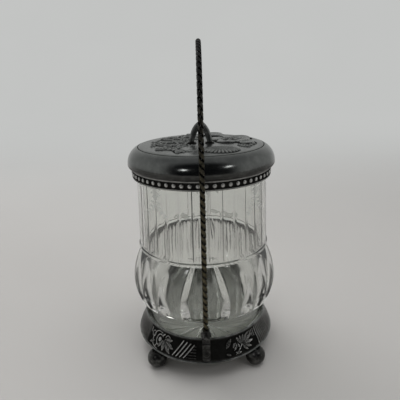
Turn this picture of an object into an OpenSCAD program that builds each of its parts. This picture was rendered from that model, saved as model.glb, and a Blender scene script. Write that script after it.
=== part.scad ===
// Biscuit jar: a moulded glass jar with a lift-off metal lid, standing in a
// plated frame on four ball feet, carried by a bail of two twisted wires.
// Millimetres. Z up, origin on the ground under the jar's axis. The bail lies
// in the YZ plane, with its front leg at -Y.

/* [Glass jar] */
// Height of the glass from its base to its mouth
jar_h = 168; // [150:1:185]
// Outer radius at the mouth
mouth_r = 59.6; // [57:0.2:61]
// Outer radius of the upright wall just above the ledge
waist_r = 61.4; // [60:0.2:63]
// Thickness of the upright wall
glass_t = 4.6; // [3.5:0.1:5.5]
// Thickness of the base
base_t = 9; // [6:0.5:11]
// Height of the ledge above the base
ledge_z = 93.9; // [88:0.5:100]
// Height of the band under the ledge
ledge_h = 3; // [2:0.25:5]
// How far the ledge stands out from the wall above it
ledge_step = 0.9; // [0.5:0.1:1.5]
// Radius of the belly at its widest
belly_r = 70.2; // [68.5:0.1:72]
// Height of the belly's widest place above the base
belly_z = 60.9; // [57:0.5:64]
// How far the ledge stands out over the top of the belly's curve
ledge_over = 1.7; // [1:0.1:3]
// Thickness of the glass behind a wide flute's middle
belly_t = 4; // [3.5:0.25:6]
// Height above the base at which the belly ends in a step
pier_z = 37.9; // [34:0.5:40]
// How far the belly stands out from the foot below it
pier_step = 2; // [1:0.1:3]
// Radius of the foot that stands in the frame
foot_r = 57.3; // [55:0.2:59]
// Thickness of the glass at the foot
foot_t = 4.7; // [4:0.1:7]
// Height of the upright part of the foot
foot_h = 20.9; // [17:0.1:24]
// Radius of the rounded heel
heel_r = 4; // [2:0.5:6]

/* [Flutes] */
// Number of wide flutes round the belly, one of them at the front
wide_flutes = 4; // [3:1:4]
// Depth of a wide flute at its middle
wide_depth = 4.6; // [3.6:0.1:5]
// Radius of a wide flute's hollow, across its width
wide_hollow_r = 150; // [80:5:200]
// How much flatter a wide flute's path is than the belly's curve
wide_bow = 1.31; // [1.25:0.01:1.5]
// Number of narrow flutes between two wide ones
narrow_flutes = 3; // [1:1:3]
// Angle from one narrow flute to the next
narrow_pitch = 16.3; // [15:0.1:17]
// Depth of a narrow flute at its middle
narrow_depth = 2.8; // [2:0.1:3.4]
// Radius of a narrow flute's hollow, across its width
narrow_hollow_r = 13.4; // [11:0.1:16]
// How much flatter a narrow flute's path is than the belly's curve, so that it runs out in an arch
narrow_bow = 1.7; // [1.4:0.05:2]
// Height of the flutes' middle above the base
flute_z = 62.9; // [61:0.1:65]
// Height above the base at which the flutes end in a shelf
flute_low = 40.5; // [38.5:0.5:43]
// Number of rays cut in the underside of the base
rays = 16; // [8:1:24]
// Width of a ray
ray_w = 4; // [2:0.5:6]
// Depth of a ray
ray_depth = 1.4; // [0.8:0.1:2]

/* [Base ring] */
// Radial room between the jar's foot and the rim of the frame
foot_gap = 1.6; // [1:0.1:3]
// Thickness of the ring's sheet
sheet_t = 1; // [0.8:0.1:1.5]
// Height of the ring
ring_h = 20.7; // [18:0.1:24]
// How much wider the ring is at its bottom than at its top
ring_flare = 7; // [5:0.5:9]
// Width of the flange turned in at the ring's bottom
flange_w = 6.4; // [5:0.2:9]
// Thickness of the floor plate
plate_t = 1; // [0.8:0.1:2]
// Radius of the half-round wires along the ring's edges
edge_wire_r = 0.9; // [0.6:0.1:1.2]

/* [Feet] */
// Radius of a ball foot
ball_r = 9.3; // [8:0.1:11]
// Radius of the flat that a foot stands on
ball_flat_r = 1.5; // [1:0.1:2.5]
// Radius of a foot's seat under the ring
ball_seat_r = 4.6; // [3.5:0.1:5.5]
// How far inside the ring's edge the feet's centres lie
ball_inset = 1.2; // [1:0.1:4]

/* [Bail] */
// Radius of each of the two wires
wire_r = 1.05; // [0.9:0.05:1.2]
// Length of rope in one full turn of the twist
twist_pitch = 12.3; // [11:0.1:15]
// Room between the belly and the bail
bail_gap = 0.55; // [0.4:0.05:2]
// Height of the hand room between the lid's loop and the bail
hand_room = 64.5; // [55:0.5:80]

/* [Bail sockets] */
// Height of a socket's top above the bottom of the ring
socket_top = 40.5; // [38:0.5:44]
// Height of the cup that holds the rope's end
cup_h = 10; // [8:0.5:12]
// Radius of the cup at its widest
cup_r = 4.2; // [3.8:0.1:5]
// Depth of the cup's bore
cup_bore_h = 8.5; // [6:0.5:9]
// Number of beads round the cup
cup_beads = 8; // [6:1:9]
// Width of the tongue
tongue_w = 7; // [6:0.25:9]
// Thickness of the tongue's neck, under the cup
neck_t = 2.1; // [1.8:0.1:3]
// Radius of a rivet's shank
rivet_r = 1.3; // [1:0.1:1.6]
// Radius of a rivet's domed head
rivet_head_r = 2.9; // [2.4:0.1:3.2]
// Height of the rivets above the bottom of the ring
rivet_z = 12; // [10:0.5:13]

/* [Lid] */
// Room between the glass and the lid's collar
lid_gap = 0.9; // [0.5:0.1:1.5]
// Thickness of the lid's sheet
lid_t = 1; // [0.8:0.1:1.4]
// How far the collar reaches down over the mouth
skirt_h = 9.5; // [8.5:0.1:14]
// Width of the collar's inner ledge, which rests on the mouth
seat_w = 8; // [6:0.5:10]
// How far the lid's rim stands out from the collar
rim_out = 5.8; // [5:0.1:7]
// Height of the rim's widest line above the mouth
rim_z = 2.9; // [2.4:0.1:4]
// Height of the lid's flat top above the mouth
lid_top = 17.9; // [15:0.1:21]
// Width of the rounded shoulder
shoulder_w = 14; // [11:0.5:17]
// Distance of the engraved line from the rim
line_in = 10; // [8:0.5:12]
// Depth of the engraved line
line_depth = 0.4; // [0.2:0.05:0.6]

/* [Lid ornament] */
// Height of the stamped flowers on the lid
flower_h = 2.4; // [1.2:0.1:2.8]
// Height of the stamped leaves on the lid
leaf_h = 1.6; // [0.8:0.1:2.2]

/* [Bead band] */
// Height of the band
band_h = 8.2; // [7:0.1:8.4]
// Thickness of the band behind the beads
band_t = 0.9; // [0.6:0.1:1.4]
// How far the band's two edges stand out from the collar
band_edge = 2.3; // [1.8:0.1:3]
// Height of each edge
band_edge_h = 1.1; // [0.8:0.1:1.4]
// Number of beads
beads = 60; // [40:1:64]
// Radius of a bead
bead_r = 2.4; // [1.8:0.1:2.6]
// How far the beads stand out from the collar
bead_out = 2.8; // [2.4:0.1:3.2]

/* [Loop on the lid] */
// Half the width of the loop, over its outside
loop_a = 10.5; // [9:0.5:14]
// Height of the loop above its rosettes
loop_h = 18.6; // [15:0.2:24]
// Thickness of the loop's bar at its feet, in its own plane
loop_t = 4.6; // [3.6:0.1:5]
// Thickness of the loop's bar at its crown
loop_crown = 5.4; // [4:0.1:6]
// Width of the loop's bar
loop_w = 5.6; // [4:0.2:7]
// Roundness of the arch: 2 is an ellipse, less is more pointed
loop_n = 1.75; // [1.5:0.05:2.2]
// Roundness of the opening under the arch
opening_n = 1.2; // [1.1:0.05:2]
// Radius of a rosette
rosette_r = 4.4; // [3.8:0.1:5]
// Height of a rosette
rosette_h = 1.4; // [1:0.1:2]
// Radius of the pegs under the loop
peg_r = 1.3; // [1:0.1:1.5]
// Radius of the nuts inside the lid
nut_r = 3; // [2.4:0.1:3.6]
// Height of the nuts
nut_h = 2.2; // [1.6:0.1:3]

/* [Hidden] */
$fn = 96;

tarnished = [0.22, 0.22, 0.23];
pewter = [0.36, 0.38, 0.38];
brassy = [0.38, 0.34, 0.27];
olive = [0.45, 0.45, 0.40];
clear = [0.80, 0.84, 0.84, 0.45];

// Clearances: pieces that rest on each other, soldered joints, and pins in holes
seat_gap = 0.05;
solder_gap = 0.02;
pin_gap = 0.05;

// Heights, from the ground up
ball_z = sqrt(ball_r * ball_r - ball_flat_r * ball_flat_r);
ring_z = ball_z + sqrt(ball_r * ball_r - ball_seat_r * ball_seat_r);
floor_z = ring_z + sheet_t;
jar_z = floor_z + plate_t + seat_gap;
mouth_z = jar_z + jar_h;
lid_z = mouth_z + seat_gap;
top_z = mouth_z + lid_top;
loop_z = top_z + rosette_h;
socket_z = ring_z + socket_top - cup_h;

// Radii that follow the glass
rings_per_turn = 7;
wire_offset = (wire_r + pin_gap) / cos(180 / rings_per_turn);
rope_r = wire_offset + wire_r;
ring_top_r = foot_r + foot_gap + edge_wire_r + sheet_t / 2;
ring_low_r = ring_top_r + ring_flare;
ball_circle_r = ring_low_r - ball_inset;
collar_in_r = mouth_r + lid_gap;
collar_r = collar_in_r + lid_t;
rim_r = collar_r + rim_out;
leg_r = max(belly_r, rim_r) + bail_gap + rope_r;

function oval(c, a, b, a0, a1, n) =
    [for (i = [0 : n]) let (t = a0 + (a1 - a0) * i / n) c + [a * cos(t), b * sin(t)]];
function arc(c, r, a0, a1, n) = oval(c, r, r, a0, a1, n);

// ---------- Frame ----------

// Outer radius of the ring at height z above its bottom: an ogee between two short upright edges
edge_h = 2 * edge_wire_r;
function ring_r(z) = let (t = min(1, max(0, (z - edge_h) / (ring_h - 2 * edge_h))))
    ring_top_r + ring_flare * (1 + cos(180 * t)) / 2;
ring_steps = 16;
ring_curve = [for (i = [0 : ring_steps]) let (z = edge_h + (ring_h - 2 * edge_h) * i / ring_steps) [ring_r(z), z]];

// Outline of the ring's outside, moved outwards by grow and closed on the axis
module ring_solid(grow = 0)
    translate([0, 0, ring_z])
        rotate_extrude()
            polygon(concat([[0, 0], [ring_low_r + grow, 0]], [for (p = ring_curve) p + [grow, 0]],
                [[ring_top_r + grow, ring_h], [0, ring_h]]));

module rivet_hole(side, r)
    translate([0, side * ring_low_r, ring_z + rivet_z])
        rotate([90, 0, 0])
            cylinder(r = r, h = 4 * ring_flare, center = true, $fn = 32);

module base_ring()
    color(tarnished)
        difference() {
            translate([0, 0, ring_z])
                rotate_extrude()
                    polygon(concat(
                        [[ring_low_r - flange_w, 0], [ring_low_r, 0]], ring_curve,
                        [[ring_top_r, ring_h], [ring_top_r - sheet_t, ring_h]],
                        [for (i = [ring_steps : -1 : 0]) ring_curve[i] - [sheet_t, 0]],
                        [[ring_low_r - sheet_t, sheet_t], [ring_low_r - flange_w, sheet_t]]));
            for (side = [-1, 1]) rivet_hole(side, rivet_r + pin_gap);
        }

// Half-round wire on the ring's top edge
module rim_wire()
    color(tarnished)
        rotate_extrude()
            translate([ring_top_r - sheet_t / 2, ring_z + ring_h])
                intersection() {
                    circle(r = edge_wire_r, $fn = 32);
                    translate([-edge_wire_r, 0]) square([2 * edge_wire_r, edge_wire_r]);
                }

// Half-round wire round the ring's bottom edge
module base_wire()
    color(tarnished)
        rotate_extrude()
            translate([ring_low_r, ring_z + edge_wire_r])
                intersection() {
                    circle(r = edge_wire_r, $fn = 32);
                    translate([0, -edge_wire_r]) square([edge_wire_r, 2 * edge_wire_r]);
                }

module floor_plate()
    color(olive)
        translate([0, 0, floor_z])
            cylinder(r = ring_low_r - sheet_t - 3 * pin_gap, h = plate_t);

// Ball foot, flattened where it stands and where it is soldered to the ring
module foot(angle)
    color(tarnished)
        rotate(angle)
            translate([ball_circle_r, 0, 0])
                intersection() {
                    translate([0, 0, ball_z]) sphere(r = ball_r, $fn = 64);
                    translate([-ball_r, -ball_r, 0]) cube([2 * ball_r, 2 * ball_r, ring_z]);
                }

// Cast socket: a beaded cup for the rope's end on a tongue that backs against the ring
tongue_front = (leg_r + ring_low_r + sheet_t) / 2;
tongue_foot = edge_h + 1.4 * sheet_t;
neck_top = socket_z + 0.1 * cup_h;
moulding_r = 0.11 * cup_h;
cup_from = -45;  // the cup's rounded side, in degrees up from its widest line
cup_to = 55;
module socket_tongue()
    difference() {
        intersection() {
            rotate([90, 0, 90])
                linear_extrude(height = tongue_w, center = true)
                    polygon([[leg_r - cup_r / 2, neck_top], [tongue_front - neck_t, socket_z - 0.6 * cup_h],
                        [ring_top_r + sheet_t, ring_z + ring_h - 1.2 * edge_h],
                        [ring_top_r - sheet_t, ring_z + rivet_z], [ring_top_r, ring_z + tongue_foot],
                        [ring_low_r + 0.4 * (tongue_front - ring_low_r), ring_z + tongue_foot],
                        [tongue_front, ring_z + tongue_foot + 0.7 * tongue_w],
                        [tongue_front, socket_z - 0.7 * cup_h], [leg_r + cup_r / 2, neck_top]]);
            rotate([90, 0, 180])
                linear_extrude(height = 2 * leg_r)
                    union() {
                        translate([-tongue_w / 2, ring_z + tongue_foot + tongue_w / 2])
                            square([tongue_w, neck_top - ring_z - tongue_foot - tongue_w / 2]);
                        translate([0, ring_z + tongue_foot + tongue_w / 2]) circle(d = tongue_w, $fn = 48);
                    }
        }
        ring_solid(solder_gap);
        rivet_hole(1, rivet_r + pin_gap);
    }
module socket(side)
    color(tarnished)
        rotate(side > 0 ? 0 : 180)
            difference() {
                union() {
                    translate([0, leg_r, socket_z])
                        rotate_extrude()
                            polygon(concat([[0, 0], [cup_r * 0.7, 0]],
                                oval([0, cup_h * 0.42], cup_r, cup_h * 0.42, cup_from, cup_to, 10),
                                [[cup_r * 0.66, cup_h * 0.86], [cup_r * 0.76, cup_h * 0.9],
                                    [cup_r * 0.76, cup_h], [0, cup_h]]));
                    translate([0, leg_r, socket_z + cup_h * 0.42])
                        for (i = [0 : cup_beads - 1])
                            rotate((i + 0.5) * 360 / cup_beads)
                                translate([cup_r * 0.88, 0, 0]) sphere(r = cup_r * 0.3, $fn = 24);
                    socket_tongue();
                    translate([0, tongue_front - moulding_r / 4, socket_z - 0.8 * cup_h])
                        rotate([0, 90, 0])
                            cylinder(r = moulding_r, h = tongue_w + moulding_r / 2, center = true, $fn = 24);
                }
                translate([0, leg_r, socket_z + cup_h - cup_bore_h])
                    cylinder(r = rope_r + 2 * pin_gap, h = cup_bore_h + 1, $fn = 48);
            }

// Rivet: domed head on the tongue, shank through tongue and ring, and an end spread inside the ring
rivet_end_t = 1.3;
module rivet(side)
    color(tarnished)
        rotate(side > 0 ? 0 : 180)
            difference() {
                translate([0, 0, ring_z + rivet_z])
                    rotate([-90, 0, 0])
                        union() {
                            inner = ring_r(rivet_z) - sheet_t - rivet_end_t;
                            translate([0, 0, inner + 0.4]) cylinder(r = rivet_r, h = tongue_front - inner, $fn = 32);
                            difference() {
                                translate([0, 0, inner - 0.6]) cylinder(r = rivet_r * 1.8, h = 5, $fn = 32);
                                rotate([90, 0, 0])
                                    translate([0, 0, -ring_z - rivet_z])
                                        rivet_backing();
                            }
                            translate([0, 0, tongue_front + solder_gap])
                                intersection() {
                                    scale_head = rivet_head_r * 1.25;
                                    translate([0, 0, -scale_head * 0.6]) sphere(r = scale_head, $fn = 48);
                                    cylinder(r = rivet_head_r, h = rivet_head_r);
                                }
                        }
            }
// Everything outside the ring's inner face, less the shank's own hole
module rivet_backing()
    difference() {
        translate([0, 0, ring_z])
            rotate_extrude()
                polygon(concat([for (p = ring_curve) p - [sheet_t + solder_gap, 0]],
                    [[ring_low_r * 1.5, ring_h], [ring_low_r * 1.5, edge_h]]));
        rivet_hole(1, rivet_r);
    }

// ---------- Bail ----------

// The rope's centre line: up the front leg, over a half circle and down the rear leg
rope_z0 = socket_z + cup_h - cup_bore_h + seat_gap;
bail_top_z = loop_z + loop_h + hand_room + rope_r;
arch_z = bail_top_z - leg_r;
leg_len = arch_z - rope_z0;
rope_len = 2 * leg_len + PI * leg_r;
rope_rings = round(rings_per_turn * rope_len / twist_pitch);
wire_sides = 8;
wire_lay = atan(2 * PI * wire_offset / twist_pitch);

// Angle round the arch at length s along the rope, from the front leg at -90 to the rear leg at 90
function arch_angle(s) = min(90, max(-90, (s - leg_len) / leg_r * 180 / PI - 90));
function rope_point(s) =
    s < leg_len ? [0, -leg_r, rope_z0 + s]
    : s > rope_len - leg_len ? [0, leg_r, rope_z0 + rope_len - s]
    : let (a = arch_angle(s)) [0, leg_r * sin(a), arch_z + leg_r * cos(a)];
// Outward direction in the bail's plane
function rope_out(s) = let (a = arch_angle(s)) [0, sin(a), cos(a)];
// Corner k of a wire's section at length s, turned by phase
function wire_corner(s, phase, k) =
    let (turn = phase + 360 * s / twist_pitch,
        n = rope_out(s), b = [-1, 0, 0],
        e1 = cos(turn) * n + sin(turn) * b,
        e2 = cos(turn) * b - sin(turn) * n,
        c = k * 360 / wire_sides - turn)
    rope_point(s) + (wire_offset + wire_r * cos(c)) * e1 + wire_r / cos(wire_lay) * sin(c) * e2;

module bail_wire(phase)
    color(brassy)
        polyhedron(
            points = [for (i = [0 : rope_rings], k = [0 : wire_sides - 1])
                wire_corner(rope_len * i / rope_rings, phase, k)],
            faces = concat(
                [[for (k = [wire_sides - 1 : -1 : 0]) k]],
                [for (i = [0 : rope_rings - 1], k = [0 : wire_sides - 1], half = [0, 1])
                    let (a = i * wire_sides + k, b = i * wire_sides + (k + 1) % wire_sides,
                        c = a + wire_sides, d = b + wire_sides)
                    half == 0 ? [a, b, c] : [b, d, c]],
                [[for (k = [0 : wire_sides - 1]) rope_rings * wire_sides + k]]));

// ---------- Glass ----------

ledge_low = ledge_z - ledge_h;
belly_rise = ledge_low - belly_z;
belly_drop = belly_r - (waist_r + ledge_step - ledge_over);
belly_bow_r = (pow(belly_rise, 2) + pow(belly_drop, 2)) / (2 * belly_drop);
belly_c = [belly_r - belly_bow_r, belly_z];
// Radius of the belly's curve at height z above the base
function belly_at(z) = belly_c[0] + sqrt(pow(belly_bow_r, 2) - pow(z - belly_z, 2));
// Radius of the foot, which sweeps out from upright to the piers' lower ends
function foot_at(z) = foot_r
    + (belly_at(pier_z) - pier_step - foot_r) * pow(max(0, (z - foot_h) / (pier_z - foot_h)), 2);
foot_steps = 10;

// Below the ledge: heel, foot, step and belly
lower_outline = concat(
    [[0, 0]],
    arc([foot_r - heel_r, heel_r], heel_r, -90, 0, 6),
    [for (i = [0 : foot_steps]) let (z = foot_h + (pier_z - foot_h) * i / foot_steps) [foot_at(z), z]],
    arc(belly_c, belly_bow_r, asin((pier_z - belly_z) / belly_bow_r), asin(belly_rise / belly_bow_r), 32),
    [[0, ledge_low]]);
// Ledge, upright wall and rounded lip
lip_r = glass_t / 2;
upper_outline = concat(
    [[0, ledge_low], [waist_r + ledge_step, ledge_low],
        [waist_r + ledge_step, ledge_z - 0.5], [waist_r + ledge_step - 0.5, ledge_z], [waist_r, ledge_z]],
    arc([mouth_r - lip_r, jar_h - lip_r], lip_r, 0, 90, 6),
    [[0, jar_h]]);
// Hollow: an inner face that bows out behind the belly, over a rounded floor
floor_round = 7;
inner_low = base_t + floor_round;
inner_waist = waist_r - glass_t;
inner_belly = belly_r - wide_depth - belly_t;
inner_foot = foot_r - foot_t;
function inner_at(z) = z > belly_z
    ? inner_belly + (inner_waist - inner_belly) * pow((z - belly_z) / (ledge_z - belly_z), 2)
    : inner_belly + (inner_foot - inner_belly) * (1 + cos(180 * max(0, z - foot_h) / (belly_z - foot_h))) / 2;
inner_steps = 24;
inner_outline = concat(
    [[0, base_t]],
    arc([inner_foot - floor_round, inner_low], floor_round, -90, 0, 8),
    [for (i = [1 : inner_steps]) let (z = inner_low + (ledge_z - inner_low) * i / inner_steps) [inner_at(z), z]],
    arc([mouth_r - lip_r, jar_h - lip_r], lip_r, 180, 90, 6),
    [[mouth_r - lip_r, jar_h + 1], [0, jar_h + 1]]);

// One flute: a round-bottomed hollow along a path that bows less than the belly. It ends below in a
// shelf, and above in an arch or under the ledge.
module flute_cutter(depth, hollow_r, bow) {
    path_r = belly_bow_r * bow;
    reach = asin(max(flute_z - flute_low, ledge_z - flute_z) / path_r) + 2;
    half_w = min(hollow_r, belly_r * 0.45);
    facets = hollow_r > belly_r ? 360 : 64;
    intersection() {
        translate([belly_r - depth - path_r, 0, flute_z])
            rotate([90, 0, 0])
                rotate(-reach)
                    rotate_extrude(angle = 2 * reach)
                        intersection() {
                            translate([path_r + hollow_r, 0]) circle(r = hollow_r, $fn = facets);
                            translate([path_r - depth, -half_w]) square([3 * depth, 2 * half_w]);
                        }
        translate([0, -belly_r, flute_low]) cube([2 * belly_r, 2 * belly_r, ledge_z]);
    }
}
module flute_cutters()
    for (i = [0 : wide_flutes - 1])
        rotate(-90 + i * 360 / wide_flutes) {
            flute_cutter(wide_depth, wide_hollow_r, wide_bow);
            for (k = [0 : narrow_flutes - 1])
                rotate(180 / wide_flutes + (k - (narrow_flutes - 1) / 2) * narrow_pitch)
                    flute_cutter(narrow_depth, narrow_hollow_r, narrow_bow);
        }

// Shallow recess under the base with a star of V-shaped rays
recess_r = foot_r - heel_r - 5;
recess_h = 1;
module base_star() {
    translate([0, 0, -1]) cylinder(r = recess_r, h = 1 + recess_h);
    for (i = [0 : rays - 1])
        rotate((i + 0.5) * 360 / rays)
            translate([recess_r * 0.14, 0, recess_h])
                rotate([90, 0, 90])
                    linear_extrude(height = recess_r * 0.82)
                        polygon([[-ray_w / 2, -0.5], [ray_w / 2, -0.5], [ray_w / 2, 0],
                            [0, ray_depth], [-ray_w / 2, 0]]);
}

module glass_jar()
    color(clear)
        translate([0, 0, jar_z])
            difference() {
                union() {
                    difference() {
                        rotate_extrude() polygon(lower_outline);
                        flute_cutters();
                    }
                    rotate_extrude() polygon(upper_outline);
                }
                rotate_extrude() polygon(inner_outline);
                base_star();
            }

// ---------- Lid ----------

rim_low = skirt_h - band_h;  // height of the collar left bare above the bead band
shell_low = lid_z - rim_low;
under_h = mouth_z + rim_z - shell_low;
line_r = rim_r - line_in;
function shoulder_z(r) = mouth_z + rim_z
    + (lid_top - rim_z) * sqrt(1 - pow((r - rim_r + shoulder_w) / shoulder_w, 2));
shoulder_c = [rim_r - shoulder_w, mouth_z + rim_z];

module loop_pegs(r)
    for (side = [-1, 1])
        translate([side * (loop_a - loop_t / 2), 0, top_z - lid_t - nut_h - 0.4])
            cylinder(r = r, h = lid_t + nut_h + rosette_h + 1.4, $fn = 32);

// Main forms of the lid's ornament. Angles in degrees from +X, lengths as shares of the flat's radius.
flat_r = rim_r - shoulder_w;
blossoms = [  // at, out, petals out, petal radius, turn, height
    [27, 0.61, 0.2, 0.18, 28, 1], [104, 0.77, 0.1, 0.09, 20, 0.85]];
domes = [[71.5, 0.83, 0.17, 1.1], [-6.8, 0.79, 0.13, 0.9], [-63.4, 0.71, 0.3, 0.7]];  // at, out, radius, height
leaves = [  // at, out, direction, length
    [-150, 0.3, 200, 0.28], [-159, 0.52, 165, 0.28], [-135, 0.42, 235, 0.28], [-136, 0.65, 200, 0.28],
    [148, 0.29, 160, 0.28], [163, 0.51, 190, 0.28], [148, 0.57, 140, 0.28], [125, 0.39, 120, 0.28],
    [126, 0.65, 150, 0.26], [101, 0.38, 100, 0.2], [-117, 0.67, 255, 0.27], [-23, 0.67, -50, 0.28]];
module dome(r, h) {
    ball = (r * r + h * h) / (2 * h);
    intersection() {
        translate([0, 0, h - ball]) sphere(r = ball, $fn = 36);
        translate([0, 0, -lid_t / 2]) cylinder(r = 1.2 * r, h = 2 * h + lid_t, $fn = 36);
    }
}
module leaf(l, h)
    translate([0, 0, -lid_t / 2])
        linear_extrude(height = h + lid_t / 2)
            intersection() {
                translate([l / 2, 0.375 * l]) circle(r = 0.625 * l, $fn = 48);
                translate([l / 2, -0.375 * l]) circle(r = 0.625 * l, $fn = 48);
            }
module at_flat(a, out) rotate(a) translate([out * flat_r, 0, top_z]) rotate(-a) children();
module lid_ornament() {
    for (b = blossoms)
        at_flat(b[0], b[1]) {
            dome(1.1 * b[3] * flat_r, 1.2 * b[5] * flower_h);
            for (k = [0 : 4])
                rotate(b[4] + 72 * k) translate([b[2] * flat_r, 0, 0]) dome(b[3] * flat_r, b[5] * flower_h);
        }
    for (d = domes) at_flat(d[0], d[1]) dome(d[2] * flat_r, d[3] * flower_h);
    for (i = [0 : len(leaves) - 1])
        let (f = leaves[i])
            at_flat(f[0], f[1]) rotate(f[2]) leaf(f[3] * flat_r, leaf_h * (1 - 0.06 * (i % 3)));
}

module lid_shell()
    color(pewter)
        difference() {
            union() {
                rotate_extrude()
                    polygon(concat(
                        [[collar_r, shell_low]],
                        oval([rim_r - under_h, mouth_z + rim_z], under_h, under_h, -90, 0, 8),
                        oval(shoulder_c, shoulder_w, lid_top - rim_z, 4, 90, 24),
                        [[0, top_z], [0, top_z - lid_t]],
                        oval(shoulder_c, shoulder_w - lid_t, lid_top - rim_z - lid_t, 90, 0, 24),
                        oval([rim_r - under_h, mouth_z + rim_z], under_h - lid_t, under_h - lid_t, -6, -90, 8),
                        [[collar_r, shell_low + lid_t]]));
                lid_ornament();
            }
            rotate_extrude()
                translate([line_r, shoulder_z(line_r)])
                    circle(r = line_depth, $fn = 16);
            loop_pegs(peg_r + pin_gap);
        }

module lid_collar()
    color(pewter)
        rotate_extrude()
            polygon([[collar_r - solder_gap, lid_z - skirt_h], [collar_r - solder_gap, lid_z + lid_t],
                [mouth_r - seat_w, lid_z + lid_t], [mouth_r - seat_w, lid_z],
                [collar_in_r - solder_gap, lid_z], [collar_in_r - solder_gap, lid_z - skirt_h]]);

// Band with two raised edges and a row of beads between them
module bead_band()
    color(tarnished)
        translate([0, 0, lid_z - skirt_h])
            difference() {
                union() {
                    rotate_extrude()
                        polygon([[collar_r, 0], [collar_r + band_edge - 0.3, 0], [collar_r + band_edge, 0.3],
                            [collar_r + band_edge, band_edge_h], [collar_r + band_t, band_edge_h],
                            [collar_r + band_t, band_h - band_edge_h], [collar_r + band_edge, band_h - band_edge_h],
                            [collar_r + band_edge, band_h - 0.1], [collar_r, band_h - 0.1]]);
                    for (i = [0 : beads - 1])
                        rotate((i + 0.5) * 360 / beads)
                            translate([collar_r + bead_out - bead_r, 0, band_h / 2])
                                sphere(r = bead_r, $fn = 32);
                }
                translate([0, 0, -1]) cylinder(r = collar_r, h = band_h + 2);
            }

function arch_side(a, b, roundness, n) =
    [for (i = [0 : n]) let (t = 90 * i / n) [a * pow(cos(t), 2 / roundness), b * pow(sin(t), 2 / roundness)]];
function mirrored(side) = concat(side, [for (i = [len(side) - 2 : -1 : 0]) [-side[i][0], side[i][1]]]);

module finial_loop()
    color(pewter)
        union() {
            translate([0, 0, loop_z])
                rotate([90, 0, 0])
                    linear_extrude(height = loop_w, center = true)
                        difference() {
                            polygon(mirrored(arch_side(loop_a, loop_h, loop_n, 18)));
                            polygon(mirrored(arch_side(loop_a - loop_t, loop_h - loop_crown, opening_n, 12)));
                        }
            intersection() {
                loop_pegs(peg_r);
                translate([0, 0, loop_z - 2 * loop_h]) cylinder(r = 2 * loop_a, h = 2 * loop_h + 0.5);
            }
        }

// Stepped discs under the loop's feet
module finial_rosettes()
    color(tarnished)
        difference() {
            for (side = [-1, 1])
                translate([side * (loop_a - loop_t / 2), 0, top_z]) {
                    cylinder(r = rosette_r, h = rosette_h * 0.55, $fn = 48);
                    cylinder(r = rosette_r * 0.82, h = rosette_h, $fn = 48);
                }
            loop_pegs(peg_r + pin_gap);
        }

module finial_nuts()
    color(pewter)
        difference() {
            for (side = [-1, 1])
                translate([side * (loop_a - loop_t / 2), 0, top_z - lid_t - nut_h])
                    cylinder(r = nut_r, h = nut_h, $fn = 6);
            loop_pegs(peg_r + pin_gap);
        }

base_ring();
rim_wire();
base_wire();
floor_plate();
foot(225);  // foot_front_left
foot(315);  // foot_front_right
foot(135);  // foot_rear_left
foot(45);  // foot_rear_right
socket(-1);  // socket_front
socket(1);  // socket_rear
rivet(-1);  // rivet_front
rivet(1);  // rivet_rear
bail_wire(0);  // bail_wire_a
bail_wire(180);  // bail_wire_b
glass_jar();
lid_shell();
lid_collar();
bead_band();
finial_loop();
finial_rosettes();
finial_nuts();
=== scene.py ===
import math

import bpy
import numpy as np
from bpy.props import FloatProperty, FloatVectorProperty, IntProperty, PointerProperty
from mathutils import Matrix, Vector


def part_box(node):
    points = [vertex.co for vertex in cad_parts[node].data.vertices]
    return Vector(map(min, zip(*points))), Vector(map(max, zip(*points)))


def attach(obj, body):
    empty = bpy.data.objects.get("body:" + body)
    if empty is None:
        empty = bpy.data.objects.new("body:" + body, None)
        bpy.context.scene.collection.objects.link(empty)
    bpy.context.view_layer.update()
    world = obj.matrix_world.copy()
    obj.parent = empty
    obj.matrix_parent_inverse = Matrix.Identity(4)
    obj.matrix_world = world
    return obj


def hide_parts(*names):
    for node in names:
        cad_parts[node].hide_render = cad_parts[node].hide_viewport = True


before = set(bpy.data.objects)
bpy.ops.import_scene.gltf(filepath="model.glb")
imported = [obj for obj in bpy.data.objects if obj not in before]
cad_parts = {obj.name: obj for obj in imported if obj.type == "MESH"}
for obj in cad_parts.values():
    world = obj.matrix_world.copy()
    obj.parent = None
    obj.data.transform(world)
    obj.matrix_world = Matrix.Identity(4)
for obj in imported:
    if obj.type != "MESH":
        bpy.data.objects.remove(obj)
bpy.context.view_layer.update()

bl_info = {
    "name": "Biscuit Jar",
    "version": (1, 0, 0),
    "blender": (4, 5, 0),
    "location": "3D View > Sidebar > Biscuit Jar",
    "description": "Dresses the biscuit jar: fluted glass, stamped lid, ornamented ring and twisted bail",
    "category": "Object",
}

MM = 0.001


def box_mm(node):
    """Lowest and highest corner of a CAD node, in millimetres."""
    low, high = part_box(node)
    return np.array(low) / MM, np.array(high) / MM


LID_HANG = 19.15
ROSETTE_H = 1.4
JAR_Z = box_mm("glass_jar")[0][2]
RING_Z = box_mm("base_ring")[0][2]
TOP_Z = box_mm("lid_shell")[0][2] + LID_HANG
LOOP_Z = TOP_Z + ROSETTE_H
WIRE_LOW, WIRE_HIGH = box_mm("bail_wire_a")


# ---------- Settings ----------


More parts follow.
